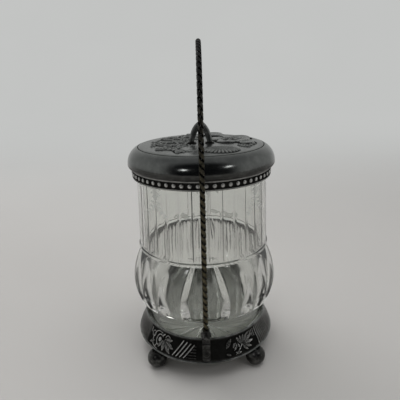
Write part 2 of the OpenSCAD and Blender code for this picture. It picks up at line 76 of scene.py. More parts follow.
class GlassSettings(bpy.types.PropertyGroup):
    columns: IntProperty(name="Columns", description="Mesh columns round the glass", default=480, min=96)
    edge_round: FloatProperty(
        name="Edge rounding", description="How far a flute's edges melt into the belly, in millimetres",
        default=0.35, min=0.05, max=2)
    inner_rib: FloatProperty(
        name="Inner ribs", description="Height of the soft ribs inside the belly, in millimetres",
        default=1.0, min=0, max=2)
    wall_line: FloatProperty(
        name="Wall lines", description="Height of the fine upright lines inside the wall, in millimetres",
        default=0.4, min=0, max=1)
    tint: FloatVectorProperty(
        name="Tint", description="Colour that the clear glass lets through",
        default=(0.885, 0.893, 0.870), size=3, subtype="COLOR", min=0, max=1)
    frost: FloatVectorProperty(
        name="Frost", description="Colour of the etched sprays and lines",
        default=(0.72, 0.74, 0.71), size=3, subtype="COLOR", min=0, max=1)


class PlateSettings(bpy.types.PropertyGroup):
    lid: FloatVectorProperty(
        name="Lid", description="Tarnished plate on the lid",
        default=(0.160, 0.167, 0.161), size=3, subtype="COLOR", min=0, max=1)
    ring: FloatVectorProperty(
        name="Ring", description="Blackened plate on the ring, the feet and the bead band",
        default=(0.034, 0.034, 0.032), size=3, subtype="COLOR", min=0, max=1)
    worn: FloatVectorProperty(
        name="Worn places", description="Plate rubbed bright on raised ornament",
        default=(0.50, 0.50, 0.485), size=3, subtype="COLOR", min=0, max=1)
    # the crowns' colour is partly rubbed plate and partly a painted highlight
    beads: FloatVectorProperty(
        name="Beads", description="Plate rubbed bright on the crowns of the beads",
        default=(0.56, 0.56, 0.54), size=3, subtype="COLOR", min=0, max=1)
    brass: FloatVectorProperty(
        name="Brassy wire", description="Base metal showing through on the bail's lower half",
        default=(0.112, 0.098, 0.058), size=3, subtype="COLOR", min=0, max=1)
    olive: FloatVectorProperty(
        name="Floor plate", description="Dull grey olive of the plate under the glass",
        default=(0.165, 0.165, 0.138), size=3, subtype="COLOR", min=0, max=1)


class OrnamentSettings(bpy.types.PropertyGroup):
    lid_relief: FloatProperty(
        name="Lid relief", description="Share of the stamped flowers' full height on the lid",
        default=1.0, min=0, max=1)
    ring_relief: FloatProperty(
        name="Ring relief", description="Height of the stamped leaves on the ring, in millimetres",
        default=0.8, min=0.1, max=1.2)


class StageSettings(bpy.types.PropertyGroup):
    floor: FloatVectorProperty(
        name="Floor", description="Colour of the pale floor",
        default=(0.592, 0.578, 0.561), size=3, subtype="COLOR", min=0, max=1)
    backdrop: FloatVectorProperty(
        name="Backdrop", description="Colour of the pale backdrop behind the jar",
        default=(0.545, 0.553, 0.545), size=3, subtype="COLOR", min=0, max=1)
    key_power: FloatProperty(
        name="Key lamp", description="Power of the large soft lamp", default=7.0, unit="POWER")
    fill_power: FloatProperty(
        name="Fill lamp", description="Power of the soft lamp overhead", default=9.0, unit="POWER")
    window_power: FloatProperty(
        name="Window lamps", description="Power of the two small lamps that glint on the rim",
        default=0.9, unit="POWER")


class JarSettings(bpy.types.PropertyGroup):
    glass: PointerProperty(type=GlassSettings)
    plate: PointerProperty(type=PlateSettings)
    ornament: PointerProperty(type=OrnamentSettings)
    stage: PointerProperty(type=StageSettings)


# ---------- Shader maths ----------


class Value:
    """A shader socket that takes part in Python arithmetic."""

    def __init__(self, finish, socket):
        self.finish = finish
        self.socket = socket

    def maths(self, operation, first, second):
        return self.finish.node("ShaderNodeMath", {"operation": operation}, {0: first, 1: second})

    def __add__(self, other):
        return self.maths("ADD", self, other)

    def __radd__(self, other):
        return self.maths("ADD", other, self)

    def __sub__(self, other):
        return self.maths("SUBTRACT", self, other)

    def __rsub__(self, other):
        return self.maths("SUBTRACT", other, self)

    def __mul__(self, other):
        return self.maths("MULTIPLY", self, other)

    def __rmul__(self, other):
        return self.maths("MULTIPLY", other, self)

    def ramp(self, low, high, to_low=0.0, to_high=1.0):
        """This value taken from low..high to to_low..to_high with soft ends."""
        return self.finish.node(
            "ShaderNodeMapRange", {"interpolation_type": "SMOOTHSTEP"},
            {"Value": self, "From Min": low, "From Max": high, "To Min": to_low, "To Max": to_high})


class Finish:
    """Builds one surface finish from shader nodes."""

    def __init__(self, name, owner=None):
        if owner is None:
            owner = bpy.data.materials.new(name)
            owner.use_nodes = True
        self.owner = owner
        self.tree = owner.node_tree
        self.tree.nodes.clear()

    def node(self, kind, settings=None, inputs=None, output=0):
        """Makes a node of any type: its settings first, then the values or links of its sockets."""
        made = self.tree.nodes.new(kind)
        for key, value in (settings or {}).items():
            setattr(made, key, value)
        for key, value in (inputs or {}).items():
            if isinstance(value, Value):
                self.tree.links.new(value.socket, made.inputs[key])
            else:
                made.inputs[key].default_value = value
        if not made.outputs:
            return made
        return Value(self, made.outputs[output])

    def place(self):
        """Position on the piece, in metres from the frame's origin."""
        return self.node("ShaderNodeTexCoord", output="Object")

    def height(self):
        """Height over the ground, in metres."""
        return self.node("ShaderNodeSeparateXYZ", {}, {"Vector": self.place()}, output="Z")

    def from_axis(self):
        """Distance from the jar's upright axis, in metres."""
        flat = self.node(
            "ShaderNodeVectorMath", {"operation": "MULTIPLY"}, {0: self.place(), 1: (1.0, 1.0, 0.0)})
        return self.node("ShaderNodeVectorMath", {"operation": "LENGTH"}, {0: flat}, output="Value")

    def noise(self, scale, detail=3.0, roughness=0.55, stretch=None):
        at = self.place()
        if stretch:
            at = self.node("ShaderNodeMapping", {}, {"Vector": at, "Scale": stretch})
        return self.node(
            "ShaderNodeTexNoise", {"noise_dimensions": "3D"},
            {"Vector": at, "Scale": scale, "Detail": detail, "Roughness": roughness})

    def spots(self, scale):
        """Distance to the nearest of many scattered spots."""
        return self.node("ShaderNodeTexVoronoi", {"feature": "F1"}, {"Vector": self.place(), "Scale": scale})

    def mark(self):
        """How raised the mesh says each place is: 0 in a hollow, 1 on a crest."""
        return self.node("ShaderNodeAttribute", {"attribute_name": MARK}, output="Fac")

    def mix(self, share, first, second):
        return self.node(
            "ShaderNodeMix", {"data_type": "RGBA", "blend_type": "MIX"},
            {0: share, 6: first, 7: second}, output=2)

    def bump(self, height, distance, strength):
        return self.node("ShaderNodeBump", {}, {"Height": height, "Distance": distance, "Strength": strength})

    def toward(self, way, direction):
        """How far a way through the world points in a direction, from -1 to 1."""
        return self.node(
            "ShaderNodeVectorMath", {"operation": "DOT_PRODUCT"}, {0: way, 1: direction}, output="Value")

    def seen_by(self, *rays):
        """1 for the named kinds of ray, 0 for all others."""
        seen = self.node("ShaderNodeLightPath", output=rays[0])
        for ray in rays[1:]:
            seen = seen.maths("MAXIMUM", seen, self.node("ShaderNodeLightPath", output=ray))
        return seen

    def surface(self, shader):
        self.node("ShaderNodeOutputMaterial", {}, {"Surface": shader})
        return self.owner


MARK = "raised"


def rgba(colour):
    return (colour[0], colour[1], colour[2], 1.0)


def shade(colour, factor):
    return (colour[0] * factor, colour[1] * factor, colour[2] * factor, 1.0)


# ---------- Finishes ----------


def tarnished_plate(name, colour, worn, rubbed=0.0, rough=0.34, grain=1.0, cloud=0.35):
    """Silver plate gone grey: clouds of tarnish, fine polishing scratches and small pits.

    With rubbed above 0, the mesh's marks blacken its hollows and rub its crests bright by that share.
    """
    f = Finish(name)
    clouds = f.noise(38, 5, 0.6).ramp(0.36, 0.66)
    blotches = f.noise(150, 4, 0.62).ramp(0.42, 0.7)
    scratches = f.noise(420, 3, 0.7, stretch=(1.0, 1.0, 9.0))
    pits = f.spots(520).ramp(0.03, 0.16)
    base = f.mix(clouds * cloud, rgba(colour), shade(colour, 0.62))
    base = f.mix(blotches * (0.5 * cloud), base, rgba(worn))
    roughness = rough - 0.05 + clouds * 0.10 + scratches.ramp(0.3, 0.75, 0.0, 0.09)
    metal = 0.96
    if rubbed:
        raised = f.mark()
        hollow = 1 - raised.ramp(0.12, 0.47)
        crest = raised.ramp(0.56, 0.86) * (0.8 + 0.2 * blotches)
        base = f.mix(hollow * rubbed, base, shade(colour, 0.12))
        base = f.mix(crest * rubbed, base, rgba(worn))
        roughness = roughness + hollow * 0.40 - crest * 0.08
        metal = 0.96 - hollow * 0.92
    height = scratches * 0.35 + blotches * 0.4 + pits * 0.25
    shader = f.node("ShaderNodeBsdfPrincipled", {}, {
        "Base Color": base, "Metallic": metal, "Roughness": roughness, "Specular IOR Level": 0.0,
        "Normal": f.bump(height, 0.00006 * grain, 0.6)})
    return f.surface(shader)


def lid_finish(name, colour, worn):
    """The lid: satin grey on top, blackened in its hollows by tarnish and by painted shade, darker and glossy
    on its rolled rim, with painted shade under the rim.
    """
    f = Finish(name)
    rim = f.from_axis().ramp(55.5 * MM, 62.5 * MM)
    under_rim_shade = f.height().ramp((TOP_Z - 19) * MM, (TOP_Z - 9) * MM, 1.0, 0.0) * rim
    clouds = f.noise(34, 5, 0.6).ramp(0.36, 0.68)
    blotches = f.noise(170, 4, 0.62).ramp(0.42, 0.7)
    scratches = f.noise(420, 3, 0.7, stretch=(1.0, 1.0, 9.0))
    raised = f.mark()
    hollow = 1 - raised.ramp(0.16, 0.48)
    crest = raised.ramp(0.56, 0.9) * (0.7 + 0.3 * blotches)
    base = f.mix(clouds * 0.30, rgba(colour), shade(colour, 0.70))
    base = f.mix(rim * 0.70, base, shade(colour, 0.55))
    # painted shade: the rolled rim's underside is painted dark and faintly reddish
    base = f.mix(under_rim_shade * 0.75, base, (colour[0] * 0.22, colour[1] * 0.19, colour[2] * 0.18, 1.0))
    base = f.mix(blotches * 0.08, base, rgba(worn))
    # tarnish and painted shade: the hollows go nearly black and lose their metal, standing in for the shadow
    # lines under the raised forms
    base = f.mix(hollow * 0.96, base, shade(colour, 0.04))
    base = f.mix(crest * 0.50, base, rgba(worn))
    roughness = 0.24 - 0.12 * rim + clouds * 0.06 + scratches.ramp(0.3, 0.75, 0.0, 0.05) + hollow * 0.5
    shader = f.node("ShaderNodeBsdfPrincipled", {}, {
        "Base Color": base, "Metallic": 0.97 - hollow * 0.93,
        "Roughness": roughness, "Specular IOR Level": 0.0,
        "Normal": f.bump(scratches * 0.3 + blotches * 0.7, 0.00005, 0.5)})
    return f.surface(shader)


def beaded_plate(name, ground, worn, ground_r, crown_r):
    """The bead band: blackened between the beads; where they stand out from the axis, rubbed bright and given
    a painted highlight.
    """
    f = Finish(name)
    blotches = f.noise(210, 4, 0.62).ramp(0.40, 0.72)
    scratches = f.noise(520, 3, 0.7)
    # rubbed plate and painted highlight: the further a place stands out from the axis, the paler it is
    # painted
    crest = f.from_axis().ramp(ground_r * MM, crown_r * MM) * (1 - 0.35 * blotches)
    shader = f.node("ShaderNodeBsdfPrincipled", {}, {
        "Base Color": f.mix(crest, shade(ground, 0.5), rgba(worn)),
        "Metallic": 0.92 * crest, "Specular IOR Level": 0.03,
        "Roughness": 0.46 - 0.20 * crest + 0.08 * blotches,
        "Normal": f.bump(scratches * 0.5 + blotches * 0.5, 0.00006, 0.5)})
    return f.surface(shader)


def twisted_wire(name, pewter, brass, brass_top, pewter_low):
    """The bail's wire: grey plate at the top, worn through to brassy metal lower down, with painted shade in
    the lay between the strands.
    """
    f = Finish(name)
    patches = f.noise(90, 4, 0.6)
    lower = (f.height() + (patches - 0.5) * 0.16).ramp(brass_top * MM, pewter_low * MM, 1.0, 0.0)
    dark = f.noise(240, 4, 0.65).ramp(0.44, 0.68)
    lay_painted_shade = 1 - f.mark().ramp(0.30, 0.85)
    base = f.mix(lower * 0.9, rgba(pewter), rgba(brass))
    base = f.mix(dark * 0.7, base, shade(pewter, 0.25))
    # painted shade: each strand is darkened where it turns in towards the lay
    base = f.mix(lay_painted_shade * 0.92, base, shade(pewter, 0.08))
    fine = f.noise(900, 2, 0.6)
    shader = f.node("ShaderNodeBsdfPrincipled", {}, {
        "Base Color": base, "Metallic": 0.9, "Roughness": 0.27 + dark * 0.22,
        "Normal": f.bump(fine * 0.5 + dark * 0.5, 0.00005, 0.6)})
    return f.surface(shader)


def clear_glass(name, tint):
    """Old pressed glass: clear, faintly grey, with a slight ripple, a few seeds, a streaky belly and painted
    dark lines along its marked ribs.
    """
    f = Finish(name)
    ripple = f.noise(46, 2, 0.5)
    fine = f.noise(260, 2, 0.5)
    seeds = f.spots(170).ramp(0.02, 0.07)
    haze = f.noise(30, 4, 0.6).ramp(0.45, 0.75)
    height = f.height()

    def above(low, high):
        return height.ramp((JAR_Z + low) * MM, (JAR_Z + high) * MM)

    def below(low, high):
        return height.ramp((JAR_Z + low) * MM, (JAR_Z + high) * MM, 1.0, 0.0)

    scuffed = below(2.6, 3.4)
    worn_floor = below(9.5, 14)
    belly = above(40, 50) * below(84, 92)
    streaks = f.noise(190, 4, 0.66, stretch=(1.0, 1.0, 0.13)).ramp(0.40, 0.68)
    tinted = f.mix(streaks * belly * 0.6, rgba(tint), shade(tint, 0.78))
    # painted shade: the glass turns nearly black along the crests of the inner ribs and wall lines, standing
    # in for the dark lines their steep sides show
    tint_and_painted_lines = f.mix(f.mark().ramp(0.10, 0.85), tinted, shade(tint, 0.12))
    shader = f.node("ShaderNodeBsdfPrincipled", {}, {
        "Base Color": tint_and_painted_lines, "Transmission Weight": 1.0, "IOR": 1.5,
        "Roughness": haze * 0.03 + scuffed * 0.30 + worn_floor * 0.16 + belly * 0.12,
        "Normal": f.bump(ripple * 0.7 + fine * 0.12 + seeds * 0.18, 0.0004, 0.35)})
    # light that only passes through on its way to a shadow is let through
    clear = f.node("ShaderNodeBsdfTransparent", {}, {"Color": (0.90, 0.91, 0.89, 1.0)})
    shadow = f.seen_by("Is Shadow Ray")
    return f.surface(f.node("ShaderNodeMixShader", {}, {0: shadow, 1: shader, 2: clear}))


def etched_glass(name, colour):
    """Wheel-etched sprays: a thin pale frost with uneven depth."""
    f = Finish(name)
    cut = f.noise(700, 3, 0.6).ramp(0.3, 0.8)
    shader = f.node("ShaderNodeBsdfPrincipled", {}, {
        "Base Color": f.mix(cut * 0.5, rgba(colour), shade(colour, 0.8)),
        "Roughness": 0.7 + cut * 0.2, "Alpha": (0.38 + 0.42 * f.mark()) * (0.6 + 0.4 * cut),
        "Normal": f.bump(cut, 0.0001, 0.5)})
    return f.surface(shader)


def cut_line(name):
    """A sharp V cut in the glass, drawn as a thin dark sheet: its colour is a painted reflection of the dark
    room that the cut's steep sides send back.
    """
    f = Finish(name)
    uneven = f.noise(160, 3, 0.6, stretch=(1.0, 1.0, 0.2)).ramp(0.3, 0.7)
    # painted reflection: near-black, standing in for the dark room mirrored in the cut
    shader = f.node("ShaderNodeBsdfPrincipled", {}, {
        "Base Color": f.mix(uneven, (0.035, 0.037, 0.035, 1.0), (0.075, 0.077, 0.073, 1.0)),
        "Roughness": 0.35 + 0.2 * uneven, "Alpha": 0.80 - 0.25 * uneven,
        "Normal": f.bump(uneven, 0.0001, 0.3)})
    return f.surface(shader)


def olive_plate(name, colour):
    """The floor plate: dull grey-olive, brushed, with stains where the glass stands."""
    f = Finish(name)
    stains = f.noise(55, 5, 0.62).ramp(0.35, 0.7)
    brushed = f.noise(300, 3, 0.6, stretch=(1.0, 12.0, 1.0))
    shader = f.node("ShaderNodeBsdfPrincipled", {}, {
        "Base Color": f.mix(stains * 0.7, rgba(colour), shade(colour, 0.55)),
        "Metallic": 0.55, "Roughness": 0.42 + stains * 0.2,
        "Normal": f.bump(brushed * 0.6 + stains * 0.4, 0.00008, 0.5)})
    return f.surface(shader)


# ---------- Meshes ----------


def grid_faces(rows, columns, closed=True):
    """Quads of a grid, whose columns close round unless told otherwise."""
    row = np.arange(rows - 1)[:, None]
    column = np.arange(columns if closed else columns - 1)[None, :]
    a = row * columns + column
    b = row * columns + (column + 1) % columns
    return np.stack([a, b, b + columns, a + columns], axis=-1).reshape(-1, 4)


def smooth_mesh(name, points, faces, finish):
    """Links a smooth-shaded mesh, with its points in metres."""
    mesh = bpy.data.meshes.new(name)
    mesh.from_pydata(points, [], faces)
    mesh.validate()
    mesh.polygons.foreach_set("use_smooth", [True] * len(mesh.polygons))
    mesh.materials.append(finish)
    made = bpy.data.objects.new(name, mesh)
    bpy.context.scene.collection.objects.link(made)
    return made


def make_piece(name, points, body, finish, stands_for=(), marks=None, faces=None):
    """Makes a piece from points in millimetres, and lets it ride on a body.

    Without faces of its own, the points are a grid whose rows close round.
    """
    if faces is None:
        faces = grid_faces(*points.shape[:2]).tolist()
    piece = smooth_mesh(name, (points.reshape(-1, 3) * MM).tolist(), faces, finish)
    if marks is not None:
        raised = piece.data.attributes.new(MARK, "FLOAT", "POINT")
        raised.data.foreach_set("value", marks.astype(np.float32).ravel())
    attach(piece, body)
    if stands_for:
        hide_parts(*stands_for)
    return piece


def finish_node(node, finish):
    """Gives a CAD node a finish of its own, and leaves its mesh as it is."""
    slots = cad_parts[node].data.materials
    slots.clear()
    slots.append(finish)


def spread(a, b, n):
    """Numbers from a to b in n even steps."""
    return [a + (b - a) * i / n for i in range(n + 1)]


def between(value, start, end):
    """0 at start, 1 at end, even in between and held beyond both."""
    return np.clip((value - start) / (end - start), 0, 1)


def smooth_min(a, b, k):
    """The lower of two surfaces, melted into each other over k."""
    h = between(b - a, -k, k)
    return b + (a - b) * h - k * h * (1 - h)


def eased(points, radii, steps=4):
    """The points between the ends of a (radius, height) profile, with corners rounded by the given radii."""
    points = [np.array(p, float) for p in points]
    made = []
    for i in range(1, len(points) - 1):
        here = points[i]
        if i not in radii:
            made.append(here)
            continue
        a, b = points[i - 1] - here, points[i + 1] - here
        la, lb = np.linalg.norm(a), np.linalg.norm(b)
        a, b = a / la, b / lb
        half = math.acos(max(-1.0, min(1.0, float(a @ b)))) / 2
        cut = min(radii[i] / math.tan(half), 0.48 * la, 0.48 * lb)
        start, end = here + a * cut, here + b * cut
        for t in spread(0, 1, steps):
            made.append((1 - t) ** 2 * start + 2 * t * (1 - t) * here + t * t * end)
    return made


class Turned:
    """A skin of rows round the upright axis over a base height, with a mark at each point."""

    def __init__(self, columns, base):
        self.angle = np.arange(columns) * 2 * math.pi / columns
        self.base = base
        self.rows, self.row_marks = [], []

    def row(self, r, z, mark=0.0):
        """A row of radius r at height z; each of the three may change on its way round."""
        r, z, mark = (np.broadcast_to(v, self.angle.shape) * 1.0 for v in (r, z, mark))
        self.rows.append(np.stack([r * np.sin(self.angle), -r * np.cos(self.angle), z + self.base], axis=-1))
        self.row_marks.append(mark)

    def profile(self, places, mark=0.0):
        """A row for each (radius, height) place."""
        for r, z in places:
            self.row(r, z, mark)

    def arc(self, r, z, across, up, start, end, steps, mark=0.0):
        """Rows along an arc round the place (r, z), from the start to the end angle in degrees."""
        for degrees in spread(start, end, steps):
            t = math.radians(degrees)
            self.row(r + across * math.cos(t), z + up * math.sin(t), mark)

    def points(self):
        return np.array(self.rows)

    def marks(self):
        return np.array(self.row_marks)


# ---------- Glass: radii, and heights over the jar's underside ----------

BELLY_R, BELLY_Z, BELLY_BOW_R = 70.2, 60.9, 51.675
LEDGE_LOW_Z, LEDGE_R, LEDGE_Z = 90.85, 62.3, 93.9
WALL_LOW_R, WALL_TOP_R, WALL_Z = 61.4, 59.6, 97.0
LIP_Z, LIP_R = 165.7, 2.3
PIER_Z, PIER_STEP = 37.9, 2.0
FOOT_R, FOOT_Z, HEEL_R = 57.3, 20.9, 4.0
BASE_SUNK, BASE_R = 1.0, 48.3

# the inside: belly, how far it draws in at the foot and at the neck, wall at the lip, floor and its corner
INNER_R, INNER_FOOT, INNER_NECK = 61.6, 9.0, 4.8
INNER_LIP_R, INNER_TAPER = 55.0, 1.8
FLOOR_Z, FLOOR_CORNER_R = 9.0, 7.0

# flutes: depth at the middle, radius across, radius of the upright bow of its middle
FLUTE_LOW, FLUTE_Z, FLUTE_R = 40.5, 62.9, 66.0
WIDE_DEPTH, WIDE_ACROSS_R, WIDE_BOW_R = 4.6, 150.0, 67.69
NARROW_DEPTH, NARROW_ACROSS_R, NARROW_BOW_R, NARROW_PITCH = 2.8, 13.4, 87.85, 16.3
BEVEL_DEPTH, BEVEL_OFF = 3.2, (0, 10, 14, 20.5)
QUARTER = math.pi / 2
NO_LIMIT = 1e3

RAY_PITCH, RAY_DEPTH, RAY_HALF = math.pi / 8, 1.4, 2.0
INNER_RIBS, WALL_LINES, LINE_TURN = 80, 30, 3.75


def belly_at(z):
    return BELLY_R - BELLY_BOW_R + np.sqrt(BELLY_BOW_R ** 2 - (z - BELLY_Z) ** 2)


def foot_at(z):
    t = max(0.0, (z - FOOT_Z) / (PIER_Z - FOOT_Z))
    return FOOT_R + (belly_at(PIER_Z) - PIER_STEP - FOOT_R) * t * t


def wall_at(z):
    return WALL_LOW_R + (WALL_TOP_R - WALL_LOW_R) * (z - LEDGE_Z) / (LIP_Z - LEDGE_Z)


def inner_at(z):
    if z > BELLY_Z:
        return INNER_R - INNER_NECK * ((z - BELLY_Z) / (LEDGE_Z - BELLY_Z)) ** 2
    return INNER_R - INNER_FOOT * (1 + math.cos(math.pi * max(0.0, z - FOOT_Z) / (BELLY_Z - FOOT_Z))) / 2


def inner_wall_at(z):
    return INNER_LIP_R + INNER_TAPER * (LIP_Z - z) / (LIP_Z - LEDGE_Z)


def reach_at(z, depth, bow_r, sunk, angle):
    """Radius to a flute's hollow; sunk is its upright bow's radius at that angle from its middle."""
    reach = BELLY_R - depth - bow_r + np.sqrt(np.clip(sunk ** 2 - (z - FLUTE_Z) ** 2, 0, None))
    return reach / np.cos(angle)


def flute_at(angle, z, depth, across_r, bow_r):
    """Radius of a flute's hollow at an angle from its middle, and no limit beside it."""
    inside = np.clip(across_r ** 2 - (FLUTE_R * np.sin(angle)) ** 2, 0, None)
    sunk = bow_r + across_r - np.sqrt(inside)
    return np.where(inside > 0, reach_at(z, depth, bow_r, sunk, angle), NO_LIMIT)


def bevel_at(angle, z):
    """Radius of the bevel along each side of a wide flute, which leans in towards the top."""
    off = FLUTE_R * np.abs(np.sin(angle))
    lean = np.interp(z, [62, 90], [1.0, 0.62])
    drop = np.interp(off / lean, BEVEL_OFF, [0, 0, BEVEL_DEPTH, 0])
    sunk = WIDE_BOW_R + off ** 2 / (2 * WIDE_ACROSS_R) - drop
    return np.where(off < 40, reach_at(z, WIDE_DEPTH, WIDE_BOW_R, sunk, angle), NO_LIMIT)


def fluted(angle, z, ease):
    """Radius of the belly with its wide and narrow flutes sunk in."""
    belly = belly_at(z)
    from_middle = (angle + QUARTER / 2) % QUARTER - QUARTER / 2
    made = smooth_min(belly, flute_at(from_middle, z, WIDE_DEPTH, WIDE_ACROSS_R, WIDE_BOW_R), ease)
    made = smooth_min(made, bevel_at(from_middle, z), ease)
    for k in (-1, 0, 1):
        middle = QUARTER / 2 + math.radians(NARROW_PITCH * k)
        off = (angle - middle + QUARTER / 2) % QUARTER - QUARTER / 2
        made = smooth_min(made, flute_at(off, z, NARROW_DEPTH, NARROW_ACROSS_R, NARROW_BOW_R), ease)
    share = between(z, FLUTE_LOW - 0.25, FLUTE_LOW + 0.35)
    share = share * share * (3 - 2 * share)
    return belly + (np.minimum(made, belly) - belly) * share


def glass_skin(columns, ease, rib, wall_line):
    """The jar's skin, from the middle of its underside over the lip to the middle of its floor.

    Its marks show the crests of the fine ribs and lines inside, along which the glass is painted dark.
    """
    skin = Turned(columns, JAR_Z)
    angle = skin.angle
    # underside with its star of rays, standing ring and foot
    from_ray = np.abs(np.sin(angle % RAY_PITCH - RAY_PITCH / 2))
    for r in [0.05, 3, 6.4, 7.2] + spread(9, 45, 10) + [46.2, 46.8, 47.6]:
        cut = RAY_DEPTH * np.clip(1 - r * from_ray / RAY_HALF, 0, 1) if 6.8 < r < 46.5 else 0.0
        skin.row(r, BASE_SUNK + cut)
    heel = FOOT_R - HEEL_R
    skin.profile(eased([(47.6, BASE_SUNK), (BASE_R, BASE_SUNK), (BASE_R, 0), (heel, 0)], {1: 0.3, 2: 0.4}))
    skin.arc(heel, HEEL_R, HEEL_R, HEEL_R, -90, 0, 8)
    skin.profile([(foot_at(z), z) for z in spread(7, 36.8, 8)])
    # step under the piers
    step = [(foot_at(z), z) for z in (37.0, PIER_Z)] + [(belly_at(z), z) for z in (PIER_Z, 38.9)]
    skin.profile(eased(step, {1: 0.4, 2: 0.6}))
    # fluted belly, with close rows where the flutes begin
    close = [FLUTE_LOW + up for up in (-1.3, -0.8, -0.5, -0.3, -0.15, 0, 0.15, 0.3, 0.5, 0.8)]
    for z in close + spread(42, 90.2, 42) + [90.6, LEDGE_LOW_Z]:
        skin.row(fluted(angle, z, ease), z)
    # ledge and upright wall
    skin.row(fluted(angle, LEDGE_LOW_Z, ease) + 0.3, 90.9)
    ledge = [(60.6, LEDGE_LOW_Z), (LEDGE_R, 90.9), (LEDGE_R, 93.4), (61.8, LEDGE_Z), (61.3, 94.2)]
    skin.profile(eased(ledge + [(61.35, WALL_Z)], {1: 0.45, 2: 0.5, 3: 0.3, 4: 0.5}, 3))
    skin.profile([(wall_at(z), z) for z in spread(WALL_Z, LIP_Z, 8)])
    skin.arc(WALL_TOP_R - LIP_R, LIP_Z, LIP_R, LIP_R, 10, 170, 8)
    # inner wall with fine upright lines
    line = (1 - np.abs(np.sin(WALL_LINES / 2 * (angle - math.radians(LINE_TURN))))) ** 6
    for z in spread(LIP_Z, WALL_Z, 8):
        fade = between(z, LIP_Z, LIP_Z - 5)
        skin.row(inner_wall_at(z) - wall_line * fade * line, z, 0.3 * fade * line)
    # inner belly with soft ribs on its rear half
    rear = between(np.cos(angle), 0.25, -0.25)
    ribs = rear * (1 - np.abs(np.sin(INNER_RIBS / 2 * angle)))
    for z in spread(LEDGE_Z, FLOOR_Z + FLOOR_CORNER_R + 0.5, 36):
        crest = ribs * between(z, 93, 90) * between(z, 30, 42)
        uneven = 0.72 + 0.28 * np.sin(11 * angle + 0.06 * z)
        skin.row(inner_at(z) - rib * crest ** 3, z, crest * uneven * between(z, 45, 57))
    # floor
    corner = INNER_R - INNER_FOOT - FLOOR_CORNER_R
    skin.arc(corner, FLOOR_Z + FLOOR_CORNER_R, FLOOR_CORNER_R, FLOOR_CORNER_R, -11.25, -90, 7)
    skin.profile([(r, FLOOR_Z) for r in (40, 32, 24, 16, 8, 3, 0.05)])
    return skin


# ---------- Etching: degrees round the wall from the front, or millimetres along it ----------

ETCH_R = 61.0
ETCH_PROUD = 0.03
SPRAY_Z, GARLAND_Z = 150.0, 163.0
CUT_OFF, CUT_LOW_Z, CUT_TOP_Z, CUT_WIDTH = 12, 95.5, 165.0, 0.75

# start and end in degrees, and height
RIBBONS = ((138, 172, 98.5), (193, 214, 95.5))


class Etching:
    """Collects thin frosted patches on the jar's upright wall."""

    def __init__(self):
        self.points, self.faces, self.depth = [], [], []
        self.count = 0

    def patch(self, along, up, marks, columns):
        """A grid of places: millimetres along the wall, and heights."""
        turn = along / ETCH_R
        r = wall_at(up) + ETCH_PROUD
        self.points.append(np.stack([r * np.sin(turn), -r * np.cos(turn), up + JAR_Z], axis=-1))
        self.faces.append(grid_faces(len(along) // columns, columns, closed=False) + self.count)
        self.depth.append(marks)
        self.count += len(along)

    def leaf(self, s, z, lean, length, width):
        """A pointed leaf that starts at (s, z), leaning in degrees."""
        t, v = np.meshgrid(np.linspace(0, 1, 11), np.linspace(-1, 1, 5), indexing="ij")
        half = width / 2 * np.sin(np.pi * t ** 0.8) ** 0.9 + 0.03
        along = t * length
        side = v * half + 0.10 * length * t * t
        c, n = math.cos(math.radians(lean)), math.sin(math.radians(lean))
        x, y = s + along * n + side * c, z + along * c - side * n
        self.patch(x.ravel(), y.ravel(), (1 - 0.6 * np.abs(v)).ravel(), 5)

    def line(self, points, width):
        """A cut line through (s, z) places."""
        p = np.array(points, float)
        way = np.gradient(p, axis=0)
        way /= np.linalg.norm(way, axis=1)[:, None]
        off = np.stack([way[:, 1], -way[:, 0]], axis=1) * width / 2
        both = np.stack([p - off, p + off], axis=1).reshape(-1, 2)
        self.patch(both[:, 0], both[:, 1], np.full(len(both), 0.8), 2)

    def piece(self, name, finish):
        """Turns what was collected into one piece on the jar."""
        make_piece(name, np.concatenate(self.points), "jar", finish,
                   marks=np.concatenate(self.depth), faces=np.concatenate(self.faces).tolist())


def along_wall(degrees):
    return math.radians(degrees) * ETCH_R


def bowed(start, end, bow, n=14):
    """Places on a bowed line from start to end."""
    a, b = np.array(start, float), np.array(end, float)
    t = np.linspace(0, 1, n)[:, None]
    side = np.array([b[1] - a[1], a[0] - b[0]])
    return a + (b - a) * t + side * bow * 4 * t * (1 - t)


def etch_spray(etching, middle):
    """One spray: a flower, and on each side a rising and a drooping stem with leaves."""
    s = along_wall(middle)
    for hand in (-1, 1):
        stem = bowed((s, SPRAY_Z), (s + hand * 15, SPRAY_Z + 17), -0.16 * hand)
        etching.line(stem, 0.5)
        for k in range(6):
            x, z = stem[2 + 2 * k]
            lean = hand * (62 - 7 * k)
            etching.leaf(x, z, lean + 48, 6.2 - 0.45 * k, 2.3)
            etching.leaf(x, z, lean - 52, 5.6 - 0.4 * k, 2.1)
        etching.leaf(stem[-1][0], stem[-1][1], hand * 50, 5.0, 2.2)
        droop = bowed((s, SPRAY_Z), (s + hand * 11, SPRAY_Z - 16), 0.14 * hand)
        etching.line(droop, 0.45)
        for k in range(4):
            x, z = droop[3 + 3 * k]
            for side in (44, -44):
                etching.leaf(x, z, hand * 140 + side, 5.4 - 0.6 * k, 2.0)
    for k in range(6):
        etching.leaf(s, SPRAY_Z, 60 * k + 15, 4.2, 2.4)


def etch_garland(etching, start, end):
    """A light garland that hangs between two sprays."""
    line = bowed((along_wall(start), GARLAND_Z), (along_wall(end), GARLAND_Z), 0.10, 26)
    etching.line(line, 0.45)
    for k in range(2, 24, 2):
        x, z = line[k]
        etching.leaf(x, z, 35 if k % 4 else 145, 3.4, 1.5)


